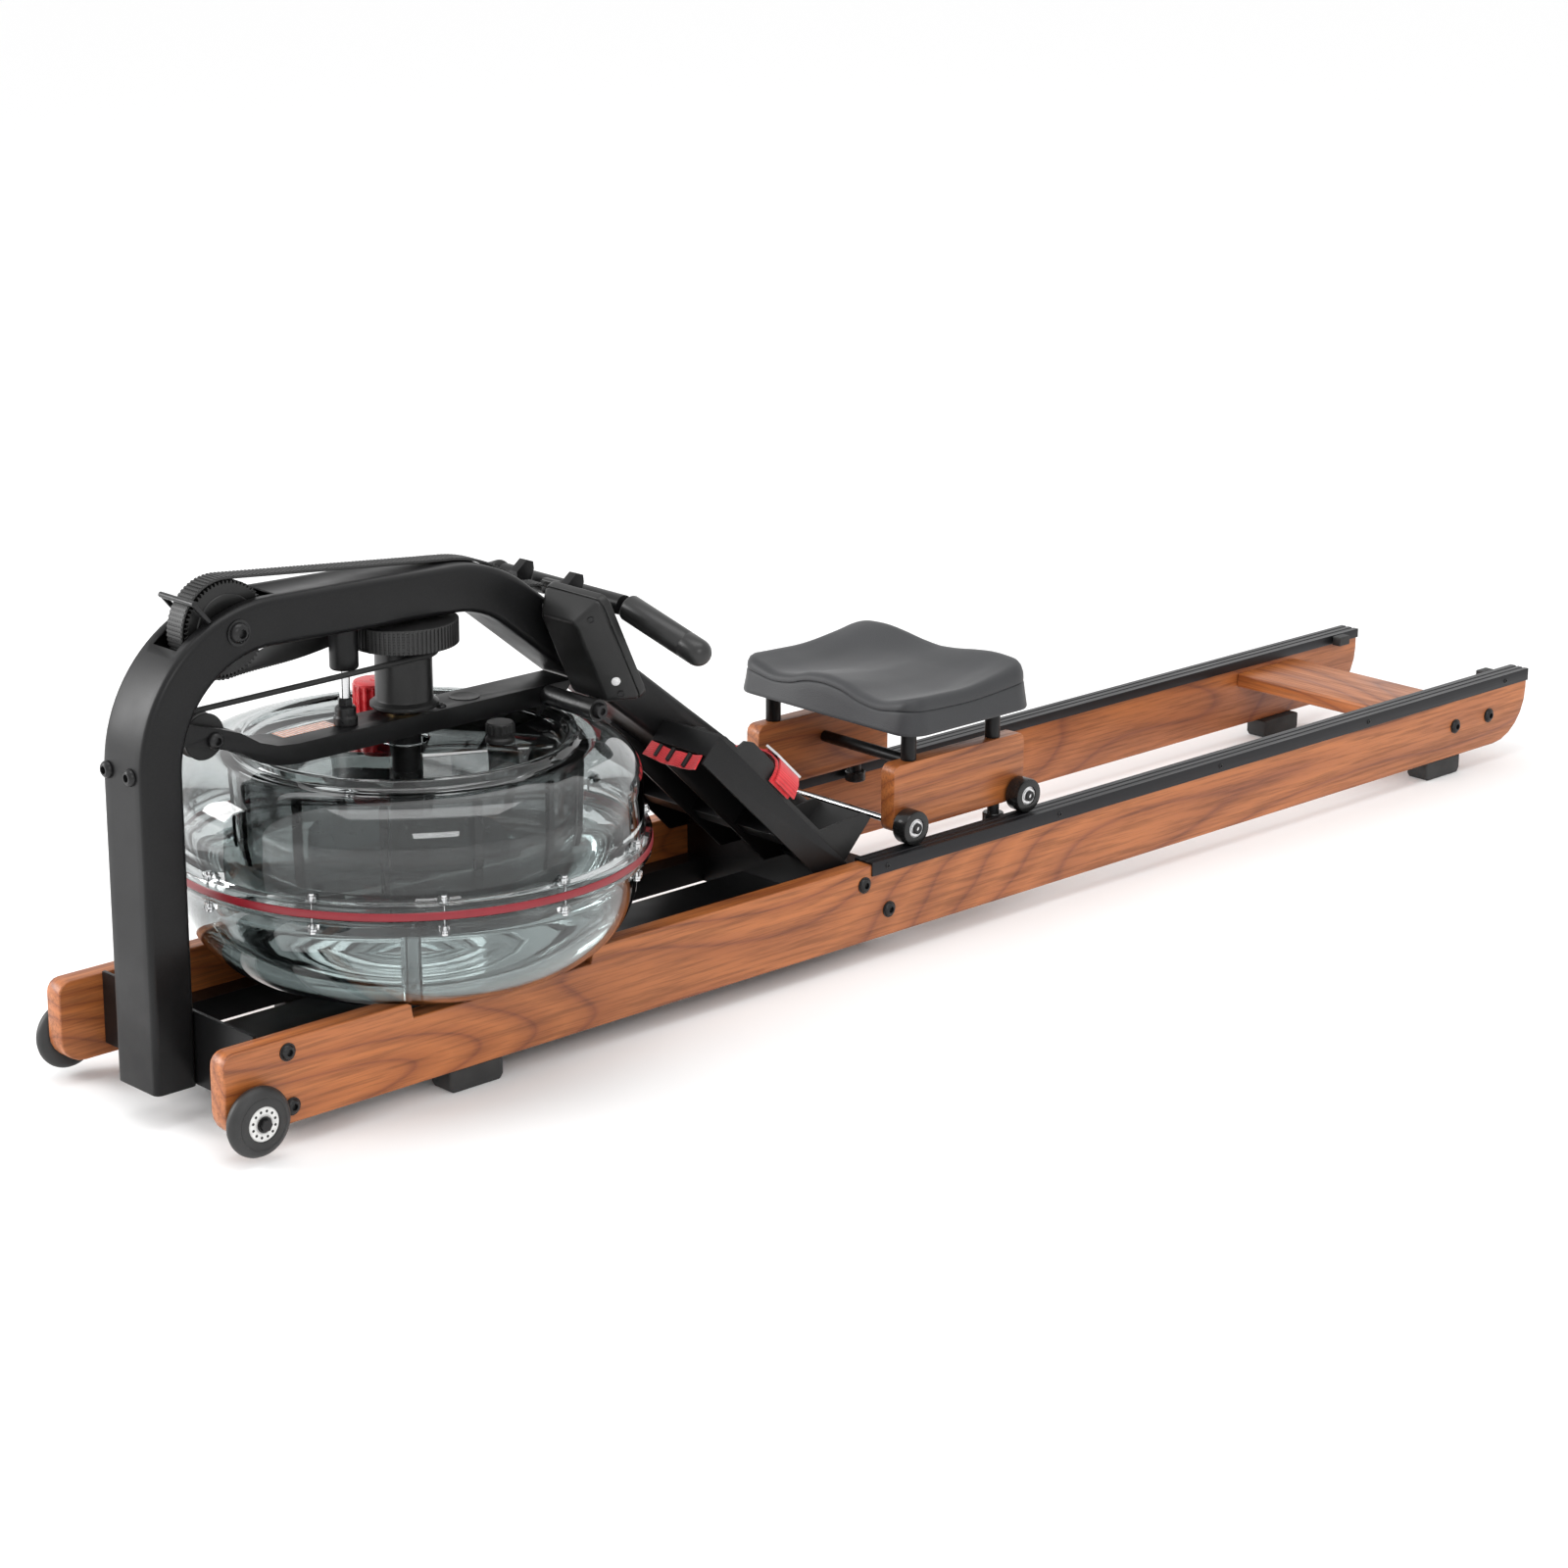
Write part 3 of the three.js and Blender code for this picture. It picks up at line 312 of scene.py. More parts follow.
def block(x, y, z):
    bm = bmesh.new()
    bmesh.ops.create_cube(bm, size=1)
    bmesh.ops.scale(bm, verts=bm.verts, vec=[high - low for low, high in (x, y, z)])
    bmesh.ops.translate(bm, verts=bm.verts, vec=[(low + high) / 2 for low, high in (x, y, z)])
    return bm


def dome_bolt(centre, radius, height, axis, out):
    """a round-headed bolt with a hexagon socket; out is +1 or -1 along the axis"""
    head = [(0, 0), (radius, 0), (radius, height * 0.3), (radius * 0.86, height * 0.72),
            (radius * 0.62, height), (radius * 0.45, height), (radius * 0.40, height * 0.35),
            (0, height * 0.35)]
    return turned([(r, h * out) for r, h in head], 24, centre, axis)


def blackened_steel(name, base=0.012, rough=0.32):
    material = new_material(name, (base, base, base * 1.05), rough, 0.35)
    haze = noise(material, 260.0, Detail=3.0)
    vary(material, "Roughness", haze, [(0.3, rough - 0.06), (0.7, rough + 0.1)])
    return material


bolt_black = blackened_steel("bolt_black")
cover_half = 157.2
cover_screws = [dome_bolt((station, side * cover_half, 109), 3.2, 1.6, "Y", side)
                for side in (-1, 1) for station in (905, 1190, 1480, 1770, 2060)]
set_piece("cover_screws", joined(*cover_screws), "frame", bolt_black)

# ---- stop blocks
# Small moulded rubber stops that catch the seat at the back. One is screwed to the inner lip
# of each track cover.
def moulded_rubber(name, base=0.022, rough=0.62):
    material = new_material(name, (base, base, base * 1.03), rough)
    speckle = noise(material, 1400.0, Detail=2.0)
    clouds = noise(material, 40.0, Detail=3.0)
    dark, pale = (base * 0.75,) * 3, (base * 1.35,) * 3
    vary(material, "Base Color", clouds, [(0.3, dark), (0.7, pale)])
    relief(material, speckle, 0.25, 0.0002)
    return material


foot_rubber = moulded_rubber("foot_rubber")
stops = [block((2052, 2074), sorted((s * 114, s * 127.6)), (104, 116.5)) for s in (-1, 1)]
set_piece("seat_stops", joined(*stops), "frame", foot_rubber, (), 1.5)

# ---- rail bolts
# Blackened steel bolts with domed heads and thin washers. They go through the rails into the
# steel frame and the slat.
rail_half = 155
rail_bolts = []
for side in (-1, 1):
    for station, height in ((75.8, 101), (79.5, 43), (870.4, 93), (909.6, 56), (1957, 66), (2029, 67)):
        spot = (station, side * rail_half, height)
        rail_bolts += [dome_bolt(spot, 8, 4.6, "Y", side), rod(9.4, 0, side * 1.2, 24, spot, "Y")]
set_piece("rail_bolts", joined(*rail_bolts), "frame", bolt_black)

# ---- rubber feet
# Four blocks of moulded black rubber, screwed up into the undersides of the rails. The whole
# machine stands on them.
for place in ("front", "rear"):
    for side, _ in both_sides:
        node = f"foot_{place}_{side}"
        dressed(node, f"rubber_{node}", "frame", foot_rubber, 2.0)

# ---- base frame and slat
# Powder-coated steel channels welded into a ladder between the rails, and one wooden slat
# that keeps the rails apart at the back.
def powder_coat(name, base=0.0055, rough=0.38):
    material = new_material(name, (base, base, base * 1.08), rough)
    peel = noise(material, 1100.0, Detail=2.0)
    haze = noise(material, 18.0, Detail=3.0)
    vary(material, "Roughness", haze, [(0.3, rough - 0.05), (0.7, rough + 0.07)])
    dark, pale = (base * 0.8, base * 0.8, base * 0.85), (base * 1.4, base * 1.4, base * 1.5)
    vary(material, "Base Color", peel, [(0.35, dark), (0.65, pale)])
    relief(material, peel, 0.22, 0.00012)
    finish(material, Specular_IOR_Level=0.25)
    return material


frame_coat = powder_coat("frame_coat")
dressed("base_frame", "base_ladder", "frame", frame_coat, 1.5)
dressed("rear_slat", "rear_slat_plank", "frame", oiled_wood("slat_wood", 0.04, True), 2.5)

# ---- bent mast
# One 70 x 50 mm steel tube with round corners, bent twice and powder-coated. A slot through
# its first bend holds the top pulley; its back end is cut to stand on the base frame.
def station_box(node):
    """the low corner, high corner and middle of a node, in millimetres and stations"""
    low, high = ((corner - Vector((nose, 0, 0))) * 1000 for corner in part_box(node))
    return low, high, (low + high) / 2


mast_low, mast_high, _ = station_box("mast")
mast_front, mast_half = mast_low.x, mast_high.y
mast_deep = 50
pulley_low, pulley_high, pulley_middle = station_box("top_pulley")
pulley_station, pulley_height = pulley_middle.x, pulley_middle.z
beam_height = pulley_height + 3
bend = 135


def rounded_section(wide, high, radius, slot):
    """(across, up) points of a tube with round corners and two more on each flat for a slot"""
    points = []
    for cx, cy, start in ((1, 1, 0), (-1, 1, 90), (-1, -1, 180), (1, -1, 270)):
        for i in range(6):
            angle = math.radians(start + i * 18)
            points.append((cx * (wide / 2 - radius) + radius * math.cos(angle),
                           cy * (high / 2 - radius) + radius * math.sin(angle)))
        if cx == cy:
            points += [(cx * slot, cx * high / 2), (-cx * slot, cx * high / 2)]
    return points


def swept(section, places, capped=True):
    """a section carried through a row of 4 x 4 places, whose columns are across, up and along"""
    bm = bmesh.new()
    ring = [bm.verts.new(places[0] @ Vector((a, u, 0))) for a, u in section]
    edges = [bm.edges.new(pair) for pair in zip(ring, ring[1:] + ring[:1])]
    first = list(edges)
    for before, after in zip(places, places[1:]):
        made = bmesh.ops.extrude_edge_only(bm, edges=edges)["geom"]
        verts = [v for v in made if isinstance(v, bmesh.types.BMVert)]
        edges = [e for e in made if isinstance(e, bmesh.types.BMEdge)]
        bmesh.ops.transform(bm, matrix=after @ before.inverted(), verts=verts)
    if capped:
        bmesh.ops.edgeloop_fill(bm, edges=first)
        bmesh.ops.edgeloop_fill(bm, edges=edges)
    return bm


def places_along(points, across=(0, 1, 0)):
    """a place at each point, square to the line through it"""
    spots = [Vector(p) for p in points]
    places = []
    for i, spot in enumerate(spots):
        along = (spots[min(i + 1, len(spots) - 1)] - spots[max(i - 1, 0)]).normalized()
        side = Vector(across[i] if isinstance(across, list) else across)
        side = (side - along * side.dot(along)).normalized()
        up = along.cross(side)
        place = Matrix((side, up, along)).transposed().to_4x4()
        place.translation = spot
        places.append(place)
    return places


fall_beam, fall_strut = math.radians(1.6), math.radians(38.2)
beam_run, strut_run = 231, 600
post_x = mast_front + mast_deep / 2
bend_x, bend_z = post_x + bend, beam_height - bend
mast_line = [(post_x, 0, 38), (post_x, 0, 200)]
for i in range(25):
    angle = math.radians(180 - (91.6 * i) / 24)
    mast_line.append((bend_x + bend * math.cos(angle), 0, bend_z + bend * math.sin(angle)))
slot_from, slot_to = mast_line[15], mast_line[-1]
x, _, z = mast_line[-1]
mast_line.append((x + 11, 0, z - 11 * math.tan(fall_beam)))
x, z = x + beam_run * math.cos(fall_beam), z - beam_run * math.sin(fall_beam)
mast_line.append((x, 0, z))
second_x, second_z = x - bend * math.sin(fall_beam), z - bend * math.cos(fall_beam)
for i in range(1, 13):
    angle = math.pi / 2 - fall_beam - (fall_strut - fall_beam) * i / 12
    mast_line.append((second_x + bend * math.cos(angle), 0, second_z + bend * math.sin(angle)))
x, _, z = mast_line[-1]
for run in (200, strut_run):
    mast_line.append((x + run * math.cos(fall_strut), 0, z - run * math.sin(fall_strut)))
slot_half = 20
section = rounded_section(2 * mast_half, mast_deep, 7, slot_half)
mast_bm = swept(section, places_along(mast_line), capped=False)
slot_faces = []
for face in mast_bm.faces:
    middle = face.calc_center_median()
    turn = math.degrees(math.atan2(middle.z - bend_z, middle.x - bend_x))
    raised = middle.z > slot_from[2] - 8 and 45 < middle.x < slot_to[0] + 10
    if abs(middle.y) < slot_half - 1 and raised and turn < 130:
        slot_faces.append(face)
bmesh.ops.delete(mast_bm, geom=slot_faces, context="FACES")
strut_foot, strut_back, strut_from = 104.5, 910, 560
for spot, away in (((0, 0, strut_foot), (0, 0, -1)), ((strut_back, 0, 0), (1, 0, 0))):
    strut = [f for f in mast_bm.faces if f.calc_center_median().x > strut_from]
    parts = list({v for f in strut for v in f.verts}) + list({e for f in strut for e in f.edges}) + strut
    bmesh.ops.bisect_plane(mast_bm, geom=parts, plane_co=spot, plane_no=away, clear_outer=True)
mast = set_piece("mast_tube", mast_bm, "frame", frame_coat, ("mast",), smooth=40)
wall = mast.modifiers.new("tube wall", "SOLIDIFY")
wall.thickness = 0.0025
wall.offset = -1
post_bolts = [dome_bolt((mast_front, y, 366), 9, 5.5, "X", -1) for y in (24, -15)]
set_piece("post_bolts", joined(*post_bolts), "frame", bolt_black)

# ---- top pulley
# A black moulded wheel with cross ribs on its rim, half sunk in the mast's first bend, on a
# steel axle whose domed heads show on both sides of the tube.
def moulded_plastic(name, base=0.009, rough=0.36):
    material = new_material(name, (base, base, base * 1.06), rough)
    spark = noise(material, 1700.0, Detail=1.0)
    haze = noise(material, 30.0, Detail=3.0)
    vary(material, "Roughness", haze, [(0.3, rough - 0.06), (0.7, rough + 0.08)])
    dark, pale = (base * 0.8,) * 3, (base * 1.3,) * 3
    vary(material, "Base Color", spark, [(0.4, dark), (0.6, pale)])
    relief(material, spark, 0.15, 0.0001)
    finish(material, Specular_IOR_Level=0.38)
    return material


moulded_black = moulded_plastic("moulded_black")


def ribbed_ring(count, crest, root, low, high, centre, axis="Z"):
    """a disc with straight ribs across its rim"""
    bm = bmesh.new()
    verts = []
    for i in range(count * 4):
        angle = math.tau * (i + 0.5) / (count * 4)
        radius = crest if i % 4 < 2 else root
        verts.append(bm.verts.new((radius * math.cos(angle), radius * math.sin(angle), low)))
    bmesh.ops.inset_region(bm, faces=[bm.faces.new(verts)], thickness=crest * 0.35)
    grown = bmesh.ops.extrude_face_region(bm, geom=list(bm.faces), use_keep_orig=True)["geom"]
    lifted = [v for v in grown if isinstance(v, bmesh.types.BMVert)]
    bmesh.ops.translate(bm, verts=lifted, vec=(0, 0, high - low))
    if axis == "Y":
        bmesh.ops.rotate(bm, verts=bm.verts, cent=(0, 0, 0), matrix=Matrix.Rotation(math.pi / 2, 3, "X"))
    bmesh.ops.translate(bm, verts=bm.verts, vec=centre)
    return bm


pulley_half = pulley_high.y
pulley_radius = (pulley_high.x - pulley_low.x) / 2
pulley_parts = [ribbed_ring(64, pulley_radius, pulley_radius - 3.2, -pulley_half, pulley_half,
                            pulley_middle, "Y")]
heads = [rod(6, -mast_half, mast_half, 20, pulley_middle, "Y")]
washer_thick = 1.6
for side in (-1, 1):
    rim = [(0, 0), (pulley_radius - 13, 0), (pulley_radius - 14, side * 1.5), (22, side * 1.5),
           (20, side * 0.5), (0, side * 0.5)]
    pulley_parts.append(turned(rim, 48, (pulley_station, side * pulley_half, pulley_height), "Y"))
    spot = (pulley_station, side * mast_half, pulley_height)
    heads.append(rod(13.5, 0, side * washer_thick, 28, spot, "Y"))
    spot = (pulley_station, side * (mast_half + washer_thick), pulley_height)
    heads.append(dome_bolt(spot, 10.5, 6, "Y", side))
set_piece("top_pulley_wheel", joined(*pulley_parts), "top_pulley", moulded_black,
          ("top_pulley",), 0.4)
set_piece("top_pulley_bolt", joined(*heads), "frame", bolt_black, ("top_pulley_axle",))

# A bent wire in front of the pulley keeps the belt from jumping off its rim.
def round_wire(points, radius, across=(0, 1, 0), sides=12):
    ring = [(radius * math.cos(math.tau * i / sides), radius * math.sin(math.tau * i / sides))
            for i in range(sides)]
    return swept(ring, places_along(points, across))


guard = [round_wire([(76, y, 529), (82, y, 522), (94, y, 508)], 2.8) for y in (-26, 26)]
guard.append(round_wire([(76, -28.5, 529), (76, 0, 529), (76, 28.5, 529)], 3.0, (0, 0, 1)))
set_piece("belt_guard_wire", joined(*guard), "frame", bolt_black)

# ---- idler pulley
# A small moulded wheel with a groove, on a bolt through the fork of the tank bar. The recoil
# cord turns round it.
idler_low, idler_high, idler_middle = station_box("idler_pulley")
idler_centre = (idler_middle.x, 0, idler_middle.z)
idler_radius = (idler_high.x - idler_low.x) / 2
flange = [(6, -8), (idler_radius - 1, -8), (idler_radius, -7), (idler_radius - 2.6, -2.5)]
groove = flange + [(idler_radius - 3.2, 0)] + [(r, -y) for r, y in reversed(flange)]
set_piece("idler_wheel", turned(groove, 48, idler_centre, "Y"), "idler_pulley",
          moulded_black, ("idler_pulley",))
idler_heads = [rod(5, -26, 26, 20, idler_centre, "Y")]
for side in (-1, 1):
    idler_heads.append(dome_bolt((idler_centre[0], side * 25.3, idler_centre[2]), 9, 5.5, "Y", side))
set_piece("idler_bolt", joined(*idler_heads), "frame", bolt_black, ("idler_axle",))

# ---- tank bar
# A flat powder-coated bar from the post to the strut that holds the rotor's bearing tube and
# presses on the tank; a plain coloured label lies on its top.
dressed("tank_bar", "tank_bar_steel", "frame", frame_coat, 3.0, 40)
bar_top = 364


def label_stripes(name):
    material = new_material(name, (0.75, 0.27, 0.12), 0.45)
    rows = texture(material, "ShaderNodeTexWave", 75.0)
    broken = noise(material, 420.0, (0.35, 1, 1), Detail=0.0)
    paper = ramp(material, rows.outputs["Fac"], [(0.49, (0.82, 0.82, 0.80)), (0.51, (0.78, 0.24, 0.10))])
    marks = ramp(material, broken, [(0.50, 1.0), (0.52, 0.12)])
    feed(material, "Base Color", blend_colours(material, paper, marks, 0.35, "MULTIPLY"))
    return material


label = block((198, 266), (2, 23), (bar_top, bar_top + 0.25))
set_piece("bar_label", label, "frame", label_stripes("label_print"))
recess = [(0, 0), (16.5, 0), (16.5, 0.8), (14.5, 0.8), (13.5, 0.25), (0, 0.25)]
set_piece("bar_cap", turned(recess, 40, (430, 0, bar_top)), "frame", moulded_black)
set_piece("bar_screw", dome_bolt((388, -14, bar_top), 5.5, 3, "Z", 1), "frame", bolt_black)

# a cross rod under the bar's end clamps the tank's rear rim through two rubber tips
clamp_x, clamp_z = 522, 331
clamp = [round_wire([(clamp_x, y, clamp_z) for y in (-56, 0, 56)], 5, (0, 0, 1), 16)]
for side in (-1, 1):
    tip = [(0, 0), (8.5, 0), (8.5, side * 5), (7, side * 8), (0, side * 8)]
    clamp.append(turned(tip, 24, (clamp_x, side * 54, clamp_z), "Y"))
    clamp.append(block((clamp_x - 8, clamp_x + 8), sorted((side * 17, side * 23)), (325, 345)))
set_piece("clamp_rod", joined(*clamp), "frame", frame_coat, (), 0.6)

# ---- tie column
# A turned post between the mast and the bar: a thick black upper half, a chrome rod below,
# and a collar that is screwed down on the bar.
_, column_high, column = station_box("tie_column")
column_foot, column_top = (column.x, 0, 0), column_high.z


def bright_metal(name, base=0.62, rough=0.14):
    material = new_material(name, (base, base, base * 1.01), rough, 1.0)
    brushed = noise(material, 500.0, (1, 1, 0.05), Detail=3.0)
    vary(material, "Roughness", brushed, [(0.3, rough * 0.7), (0.7, rough * 1.6)])
    return material


chrome = bright_metal("chrome_rod")
sleeve = [(0, 423), (13.5, 423), (15, 425), (15, column_top), (0, column_top)]
set_piece("tie_sleeve", turned(sleeve, 40, column_foot), "frame", frame_coat,
          ("tie_column",), 0.6)
set_piece("tie_rod_chrome", rod(5.5, 366, 424, 28, column_foot), "frame", chrome)
collar = [(0, 364.2), (12.5, 364.2), (12.5, 372), (11, 374), (11, 382), (9, 384), (0, 384)]
nut = [(0, 384), (8, 384), (8, 391), (6.5, 392.5), (0, 392.5)]
collar_parts = [turned(collar, 36, column_foot), turned(nut, 6, column_foot)]
set_piece("tie_collar", joined(*collar_parts), "frame", bolt_black, (), 0.5)

# ---- water tank
# Two vacuum-formed shells of clear, faintly smoky plastic clamped together at their rims.
# The lower one is a round bowl; the upper one has a rolled shoulder, a raised ring and a lid.
tank_x = station_box("tank_lower")[2].x
tank_axis = (tank_x, 0, 0)


def clear_plastic(name, tint=(0.60, 0.63, 0.63), rough=0.01, ior=1.42):
    material = new_material(name, tint, rough)
    finish(material, Transmission_Weight=1.0, IOR=ior, Coat_Weight=0.3, Coat_Roughness=0.02)
    waves = noise(material, 9.0, Detail=1.0)
    relief(material, waves, 0.04, 0.004)
    scuffs = noise(material, 120.0, Detail=4.0)
    vary(material, "Roughness", scuffs, [(0.45, rough * 0.5), (0.75, rough * 3)])
    return material


def arc(cx, cz, radius, start, end, steps):
    angles = [math.radians(start + (end - start) * i / steps) for i in range(steps + 1)]
    return [(cx + radius * math.cos(angle), cz + radius * math.sin(angle)) for angle in angles]


shell_clear = clear_plastic("shell_clear")
bowl_turn = (146, 193)
bowl = [(0, 98), *arc(*bowl_turn, 95, -90, 0, 14), (241, 211), (243, 213), (254, 213.5), (255.5, 215),
        (255.5, 219.5), (254.5, 220), (237, 220), *arc(*bowl_turn, 91, 0, -90, 14), (0, 102)]
set_piece("tank_bowl", turned(bowl, 128, tank_axis), "frame", shell_clear,
          ("tank_lower",), smooth=50)
hood_turn = (200.4, 285)
hood = [(255.5, 228.6), (255.5, 234.5), (254, 236), (249, 236.4), (247.4, 238),
        *arc(*hood_turn, 47, 0, 90, 14), (184, 332.4), (181, 336), (179.5, 340), (177.5, 341), (171, 341),
        (168.5, 339.5), (167, 335), (166, 334), (26, 334), (26, 330), (196, 328),
        *arc(*hood_turn, 43, 90, 0, 14), (243.4, 228.6)]
set_piece("tank_hood", turned(hood, 128, tank_axis), "frame", shell_clear,
          ("tank_upper",), smooth=50)

# the water fills the bowl to just under the seam
water_clear = clear_plastic("water_clear", (0.62, 0.69, 0.685), 0.0, 1.33)
water_top = 198
pool = [(0, 102.6), *arc(*bowl_turn, 90.4, -90, 0, 12), (236.4, water_top), (0, water_top)]
set_piece("tank_water", turned(pool, 96, tank_axis), "frame", water_clear, smooth=50)

# ---- seal ring and clips
# A red rubber ring squeezed between the two rims by twelve small clear screws and lugs.
red_rubber = moulded_rubber("seal_red", 0.02, 0.35)
feed(red_rubber, "Base Color", blend_colours(
    red_rubber, (0.26, 0.010, 0.020, 1), (0.19, 0.006, 0.013, 1), noise(red_rubber, 60.0)))
seal = [(248, 220.2), (256, 220.2), (256.5, 221), (256.5, 227.6), (256, 228.4), (248, 228.4)]
set_piece("seal_ring", turned(seal, 128, tank_axis), "frame", red_rubber,
          ("tank_seal",), smooth=50)
lug_clear = clear_plastic("lug_clear", (0.9, 0.92, 0.92), 0.03)
lugs, lug_screws = [], []
screw_reach = 252.4
for i in range(12):
    angle = math.radians(30 * i)
    for low, high in ((205, 213), (236, 243)):
        lug = block((tank_x + 246, tank_x + 257), (-5, 5), (low, high))
        bmesh.ops.rotate(lug, verts=lug.verts, cent=tank_axis, matrix=Matrix.Rotation(angle, 3, "Z"))
        lugs.append(lug)
    spot = (tank_x + screw_reach * math.cos(angle), screw_reach * math.sin(angle), 0)
    shank = [(0, 203), (3.4, 203), (3.4, 208), (1.8, 208), (1.8, 240), (3.4, 240), (3.4, 245), (0, 245)]
    lug_screws.append(turned(shank, 12, spot))
set_piece("rim_lugs", joined(*lugs), "frame", lug_clear, (), 1.2)
set_piece("rim_screws", joined(*lug_screws), "frame", chrome)

# ---- inner chamber
# A darker clear ring inside the tank with ribs around it; water drains into it to set the
# resistance. It hangs under the lid.
smoke_clear = clear_plastic("smoke_clear", (0.40, 0.41, 0.41), 0.02, 1.2)
ring = [(174, 206), (178, 206), (178, 327.6), (174, 327.6)]
set_piece("inner_chamber_ring", turned(ring, 96, tank_axis), "frame", smoke_clear,
          ("inner_chamber",), smooth=50)
rib_smoke = moulded_plastic("rib_smoke", 0.010, 0.25)


def rounded(bm, edges, radius, segments):
    bmesh.ops.bevel(bm, geom=edges, offset=radius, segments=segments, profile=0.5, affect="EDGES",
                    material=-1)


ribs = []
rib_top = 318
for i in range(12):
    turn = Matrix.Rotation(math.radians(15 + 30 * i), 3, "Z")
    rib = block((tank_x + 178.4, tank_x + 183.5), (-4.5, 4.5), (208, rib_top))
    top_edges = [e for e in rib.edges if all(abs(v.co.z - rib_top) < 1 for v in e.verts)
                 and abs(e.verts[0].co.x - e.verts[1].co.x) > 1]
    rounded(rib, top_edges, 4.2, 4)
    bmesh.ops.rotate(rib, verts=rib.verts, cent=tank_axis, matrix=turn)
    ribs.append(rib)
set_piece("chamber_ribs", joined(*ribs), "frame", rib_smoke)

# ---- rotor
# A bright steel shaft through the lid carries a moulded, smoky impeller that paddles the water.
# A brass ring on the bar and a plain bearing in the bowl hold it.
shaft_top = station_box("rotor_shaft")[1].z
shaft = [(0, 106), (7, 106), (8, 107), (8, shaft_top), (0, shaft_top)]
set_piece("rotor_axle", turned(shaft, 32, tank_axis), "rotor", chrome, ("rotor_shaft",))
smoky_plastic = clear_plastic("impeller_smoke", (0.20, 0.22, 0.23), 0.12, 1.4)
dressed("impeller", "impeller_paddles", "rotor", smoky_plastic, 0.8, 50)
bearing = [(8.8, 365), (17.5, 365), (17.5, 368.5), (15, 369.6), (8.8, 369.6)]
brass = bright_metal("bearing_brass", 0.5, 0.25)
finish(brass, Base_Color=(0.62, 0.42, 0.17, 1))
set_piece("bearing_ring", turned(bearing, 40, tank_axis), "frame", brass)
outlet = [(12, 102.4), (22, 102.4), (22, 112), (19, 113), (19, 106), (12, 106)]
set_piece("bowl_bearing", turned(outlet, 36, tank_axis), "frame", smoke_clear)

# ---- belt spool
# A moulded black drum that turns on the rotor's shaft. The belt winds on its ribbed upper disc
# and the recoil cord on the hub below.
lower_rim = [(8.5, 437), (55.3, 437), (56, 437.6), (56, 439), (54, 439.6), (8.5, 439.6)]
upper_rim = [(8.5, 460.6), (54, 460.6), (55.6, 461.2), (55.6, 462.6), (54, 463), (8.5, 463)]
hub = [(8.5, 370), (35, 370), (36, 371), (36, 374.5), (30.5, 378), (30, 380), (30, 436.8), (8.5, 436.8)]
spool_parts = [ribbed_ring(72, 55.0, 52.0, 438, 462, tank_axis)]
spool_parts += [turned(profile, 64, tank_axis) for profile in (lower_rim, upper_rim, hub)]
set_piece("belt_spool_drum", joined(*spool_parts), "belt_spool", moulded_black,
          ("belt_spool",), 0.3)

# ---- volume knob and fill plug
# A moulded red knob turns in a black base ring on the lid, and its tube reaches down into the
# chamber; a black screw plug beside it closes the filling hole.
_, knob_high, knob = station_box("resistance_knob")
knob_top, knob_foot = knob_high.z, (knob.x, knob.y, 0)
red_plastic = new_material("knob_red", (0.50, 0.008, 0.012), 0.28)
mottle = noise(red_plastic, 80.0, Detail=2.0)
vary(red_plastic, "Base Color", mottle, [
    (0.3, (0.42, 0.006, 0.010)), (0.7, (0.58, 0.010, 0.016))])
vary(red_plastic, "Roughness", mottle, [(0.3, 0.22), (0.7, 0.34)])
tube = [(20.4, 261), (23.4, 261), (23.4, 344.6), (20.4, 344.6)]
cap = [(0, knob_top - 5), (23, knob_top - 5), (22.6, knob_top - 1), (20, knob_top), (0, knob_top)]
knob_parts = [
    turned(tube, 48, knob_foot),
    ribbed_ring(16, 23.6, 22.2, 344.6, knob_top - 3, knob_foot),
    turned(cap, 48, knob_foot),
    block((knob.x - 3.5, knob.x + 3.5), (knob.y - 21, knob.y + 4), (knob_top - 1, knob_top + 1.2)),
]
set_piece("volume_knob", joined(*knob_parts), "resistance_knob", red_plastic,
          ("resistance_knob",), 0.5)
plate = [(24.4, 334.2), (42, 334.2), (42, 341), (40.5, 343.5), (38, 344.2), (27, 344.2), (24.4, 342)]
set_piece("knob_plate", turned(plate, 56, knob_foot), "frame", moulded_black,
          ("knob_base",))
plug = station_box("fill_plug")[2]
plug_foot = (plug.x, plug.y, 0)
neck = [(0, 334.2), (15.5, 334.2), (15.5, 338), (13.6, 340), (13.6, 344), (0, 344)]
lid = [(0, 353.5), (14.4, 353.5), (13.6, 355.6), (0, 356)]
plug_parts = [turned(neck, 40, plug_foot), ribbed_ring(14, 15.4, 14.0, 344, 353.5, plug_foot),
              turned(lid, 40, plug_foot)]
set_piece("fill_plug_cap", joined(*plug_parts), "frame", moulded_black, ("fill_plug",), 0.5)

# ---- drive belt and recoil cord
# A 25 mm ribbed rubber belt runs from the handle over the mast and the top pulley, turns on
# edge and winds on the spool. A round elastic cord runs from the hub round the idler.
def mast_top(station):
    """height of the mast's upper surface behind its first bend"""
    half = mast_deep / 2
    best = 0
    for (x0, _, z0), (x1, _, z1) in zip(mast_line[26:], mast_line[27:]):
        size = math.hypot(x1 - x0, z1 - z0)
        ax, az = x0 - (z1 - z0) / size * half, z0 + (x1 - x0) / size * half
        bx, bz = x1 - (z1 - z0) / size * half, z1 + (x1 - x0) / size * half
        if ax <= station <= bx:
            best = az + (bz - az) * (station - ax) / (bx - ax)
    return best


def around(centre, reach, angle):
    return centre[0] + reach * math.cos(angle), centre[1] + reach * math.sin(angle)


